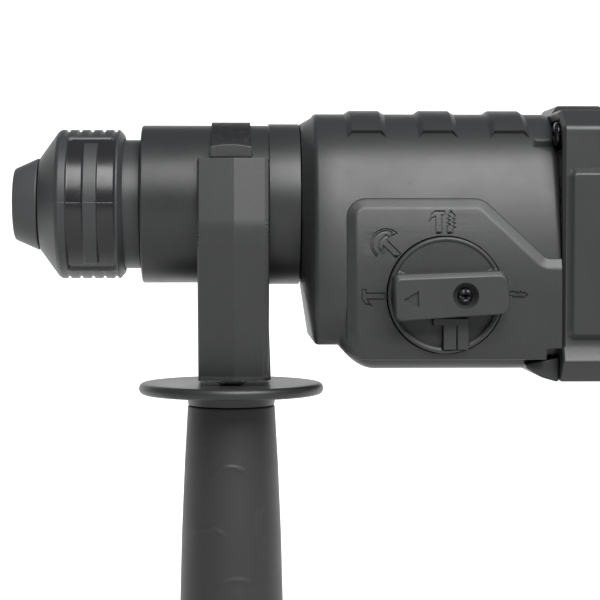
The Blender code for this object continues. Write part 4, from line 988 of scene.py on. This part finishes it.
lock_low, lock_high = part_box("lock_on_button")
fit(spun("lock_on_push_button", rounded([
    (lock_low.y + 0.0004, 0, 0), (lock_low.y + 0.0004, 0.0024, 0.001), (lock_low.y, 0.0030, 0.0004),
    (lock_low.y, 0.0046, 0.0006), (-0.0122, 0.0046, 0), (-0.0122, 0.0060, 0.0002),
    (lock_high.y, 0.0060, 0.0002), (lock_high.y, 0, 0)], closed=False),
    button_red, axis="Y", place=cross_place("lock_on_button"), turns=64),
    "lock_on", "button_red", "lock_on_button")

cross_low, cross_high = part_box("direction_button")
fit(spun("direction_cross_bolt", rounded([
    (cross_low.y + 0.0005, 0, 0), (cross_low.y, 0.0024, 0.0008), (cross_low.y, 0.0040, 0.0006),
    (cross_high.y, 0.0040, 0.0006), (cross_high.y, 0.0024, 0.0008), (cross_high.y - 0.0005, 0, 0)],
    closed=False), handle_plastic, axis="Y", place=cross_place("direction_button"), turns=64),
    "direction_switch", "housing_plastic", "direction_button")

pad_low, pad_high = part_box("handle_soft_grip")
pad_outline = rounded([(-pad_high.y, pad_low.z, 0.004), (pad_high.y, pad_low.z, 0.004),
                       (pad_high.y, pad_high.z, 0.004), (-pad_high.y, pad_high.z, 0.004)])
pad_inner = [(y * 0.90, pad_low.z + 0.001 + (z - pad_low.z) * 0.965) for y, z in pad_outline]
palm_pad = skin("palm_pad", [[(pad_low.x, y, z) for y, z in pad_outline],
                             [(pad_low.x + 0.0014, y, z) for y, z in pad_outline],
                             [(pad_high.x - 0.0008, y, z) for y, z in pad_inner]], soft_rubber)


def palm_ribs(root, size):
    bar = root.node("GeometryNodeMeshCylinder", {"fill_type": "NGON"}, {
        "Vertices": 16, "Radius": size["Rib radius"], "Depth": size["Rib length"]})
    lying = root.node("GeometryNodeTransform", None, {
        "Geometry": bar, "Rotation": (math.pi / 2, 0.0, 0.0)})
    line = root.node("GeometryNodeMeshLine", {"mode": "END_POINTS"}, {
        "Count": 17, "Start Location": vector(root, size["Place X"], 0.0, size["Lowest Z"]),
        "Offset": vector(root, size["Place X"], 0.0, size["Highest Z"])})
    return root.node("GeometryNodeInstanceOnPoints", None, {"Points": line, "Instance": lying})


ribs = grown("palm_pad_ribs", palm_ribs, {
    "Rib radius": 0.0009, "Rib length": 0.0180, "Place X": pad_high.x - 0.0010,
    "Lowest Z": pad_low.z + 0.0060, "Highest Z": pad_high.z - 0.0060}, soft_rubber)
fit(eased(palm_pad, 0.0005, 3), "tool_body", "soft_rubber", "handle_soft_grip")
fit(flat_lit(ribs), "tool_body", "soft_rubber")

gland_low, gland_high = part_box("cable_gland")
gland_profile = [(gland_high.z, 0.0070, 0), (gland_high.z - 0.0020, 0.0070, 0),
                 (gland_high.z - 0.0020, 0.0050, 0)]
for turn in range(4):
    start = gland_high.z - 0.0068 - turn * 0.0020
    gland_profile += [(start, 0.0050 - 0.0002 * turn, 0), (start, 0.0042, 0),
                      (start - 0.0008, 0.0042, 0), (start - 0.0008, 0.0049 - 0.0002 * turn, 0)]
gland_profile += [(gland_low.z, 0.0043, 0.0002), (gland_low.z, 0.0034, 0), (gland_high.z, 0.0034, 0)]
fit(spun("cable_gland_sleeve", rounded(gland_profile), soft_rubber, axis="Z",
         place=(centre_of("cable_gland").x, 0, 0), turns=48),
    "tool_body", "soft_rubber", "cable_gland")


# ------------------------------------------------------------------ side handle yoke
# The moulding that straddles the neck. Its two legs have a faint ridge down the middle of
# each face, and it widens below into a foot that carries the clamp bolt.

yoke_plastic = moulded("yoke_nylon", (0.026, 0.0265, 0.027), 0.47, depth=0.000035)
yoke_low, yoke_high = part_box("side_handle_yoke")
YOKE_X = (yoke_low.x + yoke_high.x) / 2
RIDGE_X = YOKE_X + 0.0009
RIDGE_RISE = 0.0018
BAND_INNER, BAND_OUTER, BAND_HALF_WIDTH = 0.0253, 0.0260, 0.0061
GAP = 0.0003
LEG_TOP, FOOT_TOP = yoke_high.z, -0.0225
leg_outside = [(0.0160, yoke_low.z, 0), (0.0161, yoke_low.z + 0.0014, 0), (0.0300, -0.0095, 0.018),
               (0.0258, LEG_TOP, 0)]
arch = [(BAND_INNER * math.cos(a), BAND_INNER * math.sin(a))
        for a in np.radians(np.linspace(0, -90, 25))]


def leg_section(x, rise=0.0, trim=0.0):
    """The yoke's outline in Y and Z, with its outer faces moved out and its edges in."""
    outside = [(y + rise - trim, min(z, LEG_TOP - trim))
               for y, z in rounded(leg_outside, closed=False, steps=14)]
    half = outside + [(BAND_INNER + 0.0003, LEG_TOP - trim), (BAND_INNER, LEG_TOP - 0.0010)]
    half += arch[:-1]
    return [(x, y, z) for y, z in [*half, (0, -BAND_INNER), *[(-y, z) for y, z in reversed(half)]]]


left_x, right_x = YOKE_X - 0.0103, YOKE_X + 0.0117
yoke = skin("side_handle_saddle", [
    leg_section(left_x, 0, 0.0006), leg_section(left_x + 0.0005, 0.0001),
    leg_section(RIDGE_X, RIDGE_RISE), leg_section(right_x - 0.0014, 0.0001),
    leg_section(right_x - 0.0004, 0, 0.0003), leg_section(right_x, 0, 0.0011)],
    yoke_plastic, sharp=8)


def foot_ring(x, half_depth):
    outline = rounded([(-half_depth, yoke_low.z, 0.0012), (half_depth, yoke_low.z, 0.0012),
                       (half_depth - 0.0010, FOOT_TOP, 0.006),
                       (-half_depth + 0.0010, FOOT_TOP, 0.006)])
    return [(x, y, z) for y, z in outline]


foot = skin("foot", [foot_ring(x, half_depth) for x, half_depth in (
    (yoke_low.x - 0.0010, 0.0148), (yoke_low.x, 0.0158), (left_x, 0.0164),
    (right_x - 0.0005, 0.0164), (yoke_high.x - 0.0012, 0.0158), (yoke_high.x - 0.0003, 0.0148))],
            yoke_plastic)
for vertex in foot.data.vertices:
    rise = (vertex.co.z - yoke_low.z) / 0.0268
    vertex.co.x = YOKE_X + (vertex.co.x - YOKE_X) * (1 - 0.075 * max(rise, 0))
carved(yoke, eased(foot, 0.0008, 3, 30), operation="UNION", sharp=8)
slot_half = BAND_HALF_WIDTH + GAP
groove = spun("groove", [(YOKE_X - slot_half, BAND_OUTER + GAP), (YOKE_X + slot_half, BAND_OUTER
              + GAP), (YOKE_X + slot_half, 0.0200), (YOKE_X - slot_half, 0.0200)], None)
neck_room = rod((0, 0, 0), BAND_INNER, left_x - 0.004, right_x + 0.004, "X", 96)
bolt_room = prism("bolt_room", [(-0.0094, -0.0430), (0.0094, -0.0430), (0.0094, -0.0200),
                                (-0.0094, -0.0200)], YOKE_X - 0.0076, YOKE_X + 0.0076, "YZ")
carved(yoke, groove, neck_room, bolt_room, rod((YOKE_X, 0, 0), 0.0044, -0.0700, -0.0300, "Z"))
fit(flat_lit(eased(yoke, 0.0002, 2, 28), 8), "side_handle", "housing_plastic",
    "side_handle_yoke")

TAB_HALF_LENGTH = 0.0065
tab_outline = [(YOKE_X + TAB_HALF_LENGTH * u, LEG_TOP + 0.0001) for u in (-1, 1)]
tab_outline += [(YOKE_X + TAB_HALF_LENGTH * u, 0.0172 + 0.0008 * (1 - u * u))
                for u in np.linspace(1, -1, 15)]
for sense, side in ((-1, "left"), (1, "right")):
    depths = sorted((sense * 0.0205, sense * 0.0262))
    tab = prism(f"saddle_tab_{side}", tab_outline, *depths, "XZ", yoke_plastic)
    carved(tab, rod((0, 0, 0), BAND_OUTER + GAP, YOKE_X - 0.02, YOKE_X + 0.02, "X", 96))
    fit(eased(tab, 0.0004, 2, 30), "side_handle", "housing_plastic")


# ------------------------------------------------------------------ clamp band
# A strip of spring steel round the neck, blackened. Its two ears hang in the yoke, and the
# bolt pulls them down when the grip is turned.

band_steel, place, shader = start_finish("blackened_band_steel", 0.42, 0.3)
rubbed = place.noise(420.0, 5.0, 0.7).between(0.52, 0.80)
feed(shader, "Base Color", rubbed.mixed((0.012, 0.012, 0.013), (0.045, 0.045, 0.047)))
feed(shader, "Roughness", 0.50 - rubbed * 0.12)
feed_bump(shader, place.noise(1100.0, 2.0, 0.5), 0.000008)
EAR = 0.0052
EAR_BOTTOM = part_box("clamp_band")[0].z
dip = math.asin(EAR / BAND_OUTER)
outer_arc = [(BAND_OUTER * math.cos(a), BAND_OUTER * math.sin(a))
             for a in np.linspace(-math.pi / 2 + dip + 0.04, 1.5 * math.pi - dip - 0.04, 97)]
inner_arc = [(BAND_INNER * math.cos(a), BAND_INNER * math.sin(a))
             for a in np.linspace(1.5 * math.pi - dip, -math.pi / 2 + dip, 97)]
band_outline = ([(EAR + 0.001, EAR_BOTTOM)] + outer_arc + [(-EAR - 0.001, EAR_BOTTOM),
                (-EAR, EAR_BOTTOM)] + inner_arc + [(EAR, EAR_BOTTOM)])
band = prism("neck_clamp_band", band_outline, YOKE_X - BAND_HALF_WIDTH, YOKE_X + BAND_HALF_WIDTH,
             "YZ", band_steel)
carved(band, rod((YOKE_X, 0, -0.0350), 0.0024, -0.02, 0.02, "Y"))
fit(eased(band, 0.0002, 2, 40), "side_handle", "black_steel", "clamp_band")


# ------------------------------------------------------------------ hand guard and grip
# The guard and the tube below it are one nylon moulding. The rubber grip is pulled over the
# tube, and low crescent ridges on it keep the hand from slipping round.

guard_plastic = moulded("guard_nylon", (0.019, 0.0195, 0.020), 0.42)
grip_rubber = moulded("grip_rubber", (0.020, 0.020, 0.0205), 0.55, grain=0.0003, depth=0.000018,
                      sheen=0.05)
guard_low, guard_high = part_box("guard_disc")
GUARD_TOP = guard_high.z
GUARD_RADIUS = (guard_high.x - guard_low.x) / 2
GUARD_THICKNESS = 0.0036
grip_low, grip_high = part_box("grip_sleeve")
GRIP_AXIS, GRIP_BORE = (YOKE_X, 0, 0), 0.0093
guard_profile = rounded([
    (GUARD_TOP, 0.0048, 0), (GUARD_TOP, 0.0262, 0.0006), (GUARD_TOP, GUARD_RADIUS, 0.0017),
    (GUARD_TOP - GUARD_THICKNESS, GUARD_RADIUS, 0.0017), (GUARD_TOP - GUARD_THICKNESS, 0.0142, 0.0008),
    (grip_high.z + 0.0003, 0.0138, 0), (grip_high.z + 0.0003, 0.0090, 0), (-0.1740, 0.0090, 0),
    (-0.1740, 0.0048, 0)])
fit(spun("hand_guard", guard_profile, guard_plastic, axis="Z", place=GRIP_AXIS, turns=128),
    "side_grip", "housing_plastic", "guard_disc")

CRESCENT_RADIUS = 0.0080
CRESCENT_HALF_SPAN = math.radians(44)
CRESCENTS = [(-0.0004, -0.0836, 0.0), (0.0098, -0.1008, math.radians(90)),
             (-0.0078, -0.1030, 0.0), (0.0016, -0.1190, 0.0), (0.0104, -0.1370, math.radians(90)),
             (-0.0078, -0.1380, 0.0), (0.0000, -0.1540, 0.0)]


def grip_swell(along, radius, angles):
    """Crescent ridges in three staggered rows, on the left face and again on the right."""
    if radius < 0.0125 or along > grip_high.z - 0.003:
        return 0 * angles
    turned = side_angle(angles)
    across = turned * 0.0160
    height = 0 * angles
    for middle, level, tilt in CRESCENTS:
        u, v = across - middle, along - level
        if tilt:
            u, v = v, -u
        v = v + CRESCENT_RADIUS * 0.85
        around = np.arctan2(u, v)
        off_arc = np.abs(np.hypot(u, v) - CRESCENT_RADIUS)
        ends = inside(np.abs(around) - CRESCENT_HALF_SPAN, 0.35)
        height = np.maximum(height, ends * np.exp(-(off_arc / 0.0006) ** 2))
    return 0.00032 * height


grip_profile = rounded([
    (grip_high.z, 0.0096, 0), (grip_high.z, 0.0139, 0.0005), (-0.0820, 0.0149, 0.08),
    (-0.1050, 0.0159, 0.08), (-0.1280, 0.0165, 0.1), (-0.1500, 0.0163, 0.1), (-0.1680, 0.0167, 0.05),
    (-0.1775, 0.0160, 0.008), (grip_low.z, 0.0130, 0.004), (grip_low.z, 0, 0)], closed=False)
grip_line = [(grip_high.z, GRIP_BORE), *spaced(grip_profile, 0.0006), (-0.1760, 0),
             (-0.1760, GRIP_BORE)]
grip = spun("rubber_grip", grip_line, grip_rubber, axis="Z", place=GRIP_AXIS, turns=200,
            swell=grip_swell, sharp=50)
fit(grip, "side_grip", "soft_rubber", "grip_sleeve")


# ------------------------------------------------------------------ drive and hammer, inside
# The turned, ground and hobbed steel parts, the bearings, the cast bearing plates and the
# motor. They keep their plain solids, and each gets the finish of its metal or moulding.


def metal(name, colour, roughness, axis_marks=0.0, pits=0.0):
    """A machined or cast metal, with fine marks round the shaft or a pitted skin."""
    material, place, shader = start_finish(name, roughness, 1.0)
    stain = place.noise(140.0, 4.0, 0.6).between(0.35, 0.75)
    feed(shader, "Base Color", stain.mixed(colour, tuple(0.72 * c for c in colour)))
    feed(shader, "Roughness", roughness + stain * 0.12)
    if axis_marks:
        marks = place.node("ShaderNodeMapping", None, {"Vector": place, "Scale": (1.0, 0.02, 0.02)})
        feed_bump(shader, marks.noise(axis_marks, 2.0, 0.5), 0.000004)
    if pits:
        feed_bump(shader, place.noise(pits, 3.0, 0.6), 0.00003)
    return material


ground_steel = metal("ground_steel", (0.40, 0.40, 0.42), 0.30, axis_marks=9000.0)
bearing_steel = metal("bearing_steel", (0.56, 0.56, 0.57), 0.20, axis_marks=12000.0)
cast_alloy = metal("cast_alloy", (0.52, 0.52, 0.53), 0.46, pits=1600.0)
zinc_steel = metal("zinc_plated_steel", (0.50, 0.50, 0.49), 0.32, pits=2400.0)

COMMUTATOR_BARS = 24
copper_bars, place, shader = start_finish("commutator_copper", 0.34, 1.0)
turned = place.math("ARCTAN2", place.part("Z") - MOTOR_SHAFT_Z, place.part("Y"))
mica = place.math("FRACT", turned * (COMMUTATOR_BARS / (2 * math.pi))).between(0.06, 0.12)
feed(shader, "Base Color", mica.mixed((0.05, 0.04, 0.03), (0.62, 0.30, 0.16)))

PLY_THICKNESS = 0.0005
laminated, place, shader = start_finish("laminated_steel", 0.45, 0.9)
plies = place.math("FRACT", place.part("X") / PLY_THICKNESS).between(0.1, 0.3)
feed(shader, "Base Color", plies.mixed((0.10, 0.10, 0.10), (0.36, 0.36, 0.37)))
feed_bump(shader, plies, 0.00002)

carbon = moulded("brush_carbon", (0.035, 0.035, 0.038), 0.66, grain=0.0002)
carrier_plastic = moulded("carrier_plastic", (0.50, 0.47, 0.39), 0.48)
fan_plastic = moulded("fan_plastic", (0.035, 0.036, 0.037), 0.45)
seal_rubber = moulded("seal_rubber", (0.022, 0.022, 0.023), 0.60)

INSIDE = {
    ground_steel: ("spindle", "anvil", "striker", "spindle_gear", "countershaft", "wobble_hub",
                   "countershaft_gear", "armature_shaft"),
    bearing_steel: ("locking_ball", "sleeve_spring", "clutch_spring", "front_bearing", "wobble_ring",
                    "spindle_rear_bearing", "countershaft_front_bearing",
                    "countershaft_rear_bearing", "armature_front_bearing",
                    "armature_rear_bearing"),
    cast_alloy: ("piston", "bearing_bridge", "inner_flange"),
    zinc_steel: ("clamp_bolt",),
    laminated: ("armature_core", "stator"),
    copper_bars: ("commutator",),
    carbon: ("carbon_brush_left", "carbon_brush_right"),
    carrier_plastic: ("brush_carrier", "switch_module"),
    fan_plastic: ("cooling_fan",),
    seal_rubber: ("oil_seal",),
}
for finish, names in INSIDE.items():
    for name in names:
        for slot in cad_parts[name].material_slots:
            slot.material = finish


# ------------------------------------------------------------------ studio
# A plain white floor that sweeps up behind the tool and is lit from within there, and one
# large softbox in front of the tool, above it and to its right.

FLOOR_Z = cad_box[0].z - 0.0005
CURVE_RADIUS = 0.9
WALL_Y = 2.6
floor_line = [(-2.5, FLOOR_Z)] + [
    (WALL_Y - CURVE_RADIUS + CURVE_RADIUS * math.sin(a), FLOOR_Z + CURVE_RADIUS * (1 - math.cos(a)))
    for a in np.linspace(0, math.pi / 2, 24)] + [(WALL_Y, 1.4)]
sweep_mesh = bpy.data.meshes.new("studio_sweep")
sweep_mesh.from_pydata([(x, y, z) for y, z in floor_line for x in (-3.5, 3.5)], [],
                       [(2 * i, 2 * i + 1, 2 * i + 3, 2 * i + 2) for i in range(len(floor_line) - 1)])
white_paper, place, shader = start_finish("white_paper", 0.9)
paper = place.noise(8.0, 2.0, 0.5)
feed(shader, "Base Color", paper.mixed((0.60, 0.60, 0.60), (0.62, 0.62, 0.62)))
# Painted glow: the paper is no lamp, but its emission is full behind the tool and faint in front of it,
# so the sweep lights the tool from behind and below.
glow_behind = place.part("Y").between(-0.05, 0.15)
feed(shader, "Emission Color", glow_behind.mixed((0.05, 0.05, 0.05), (1, 1, 1)))
shader.inputs["Emission Strength"].default_value = 1.0
sweep = set_piece("studio_sweep", sweep_mesh, white_paper, 180)

world = bpy.data.worlds.new("studio_air")
world.use_nodes = True
world.node_tree.nodes["Background"].inputs["Color"].default_value = (0.93, 0.96, 1.0, 1)
world.node_tree.nodes["Background"].inputs["Strength"].default_value = 0.20
bpy.context.scene.world = world


def softbox(name, place, target, width, height, power):
    data = bpy.data.lights.new(name, "AREA")
    data.shape = "RECTANGLE"
    data.size, data.size_y, data.energy = width, height, power
    lamp = bpy.data.objects.new(name, data)
    lamp.location = place
    lamp.rotation_euler = (Vector(target) - Vector(place)).to_track_quat("-Z", "Y").to_euler()
    bpy.context.scene.collection.objects.link(lamp)


softbox("key_softbox", (0.33, -0.93, 0.97), (0.04, 0, 0), 1.15, 0.95, 33)

camera_data = bpy.data.cameras.new("camera")
camera_data.angle = math.radians(17.9)
camera_data.clip_end = 20
camera = bpy.data.objects.new("camera", camera_data)
camera.location = (0.0141, -0.609, -0.0091)
aim = Vector((0.0355, 0, -0.0306)) - camera.location
camera.rotation_euler = aim.to_track_quat("-Z", "Y").to_euler()
bpy.context.scene.collection.objects.link(camera)
bpy.context.scene.camera = camera
bpy.context.scene.view_settings.view_transform = "Standard"
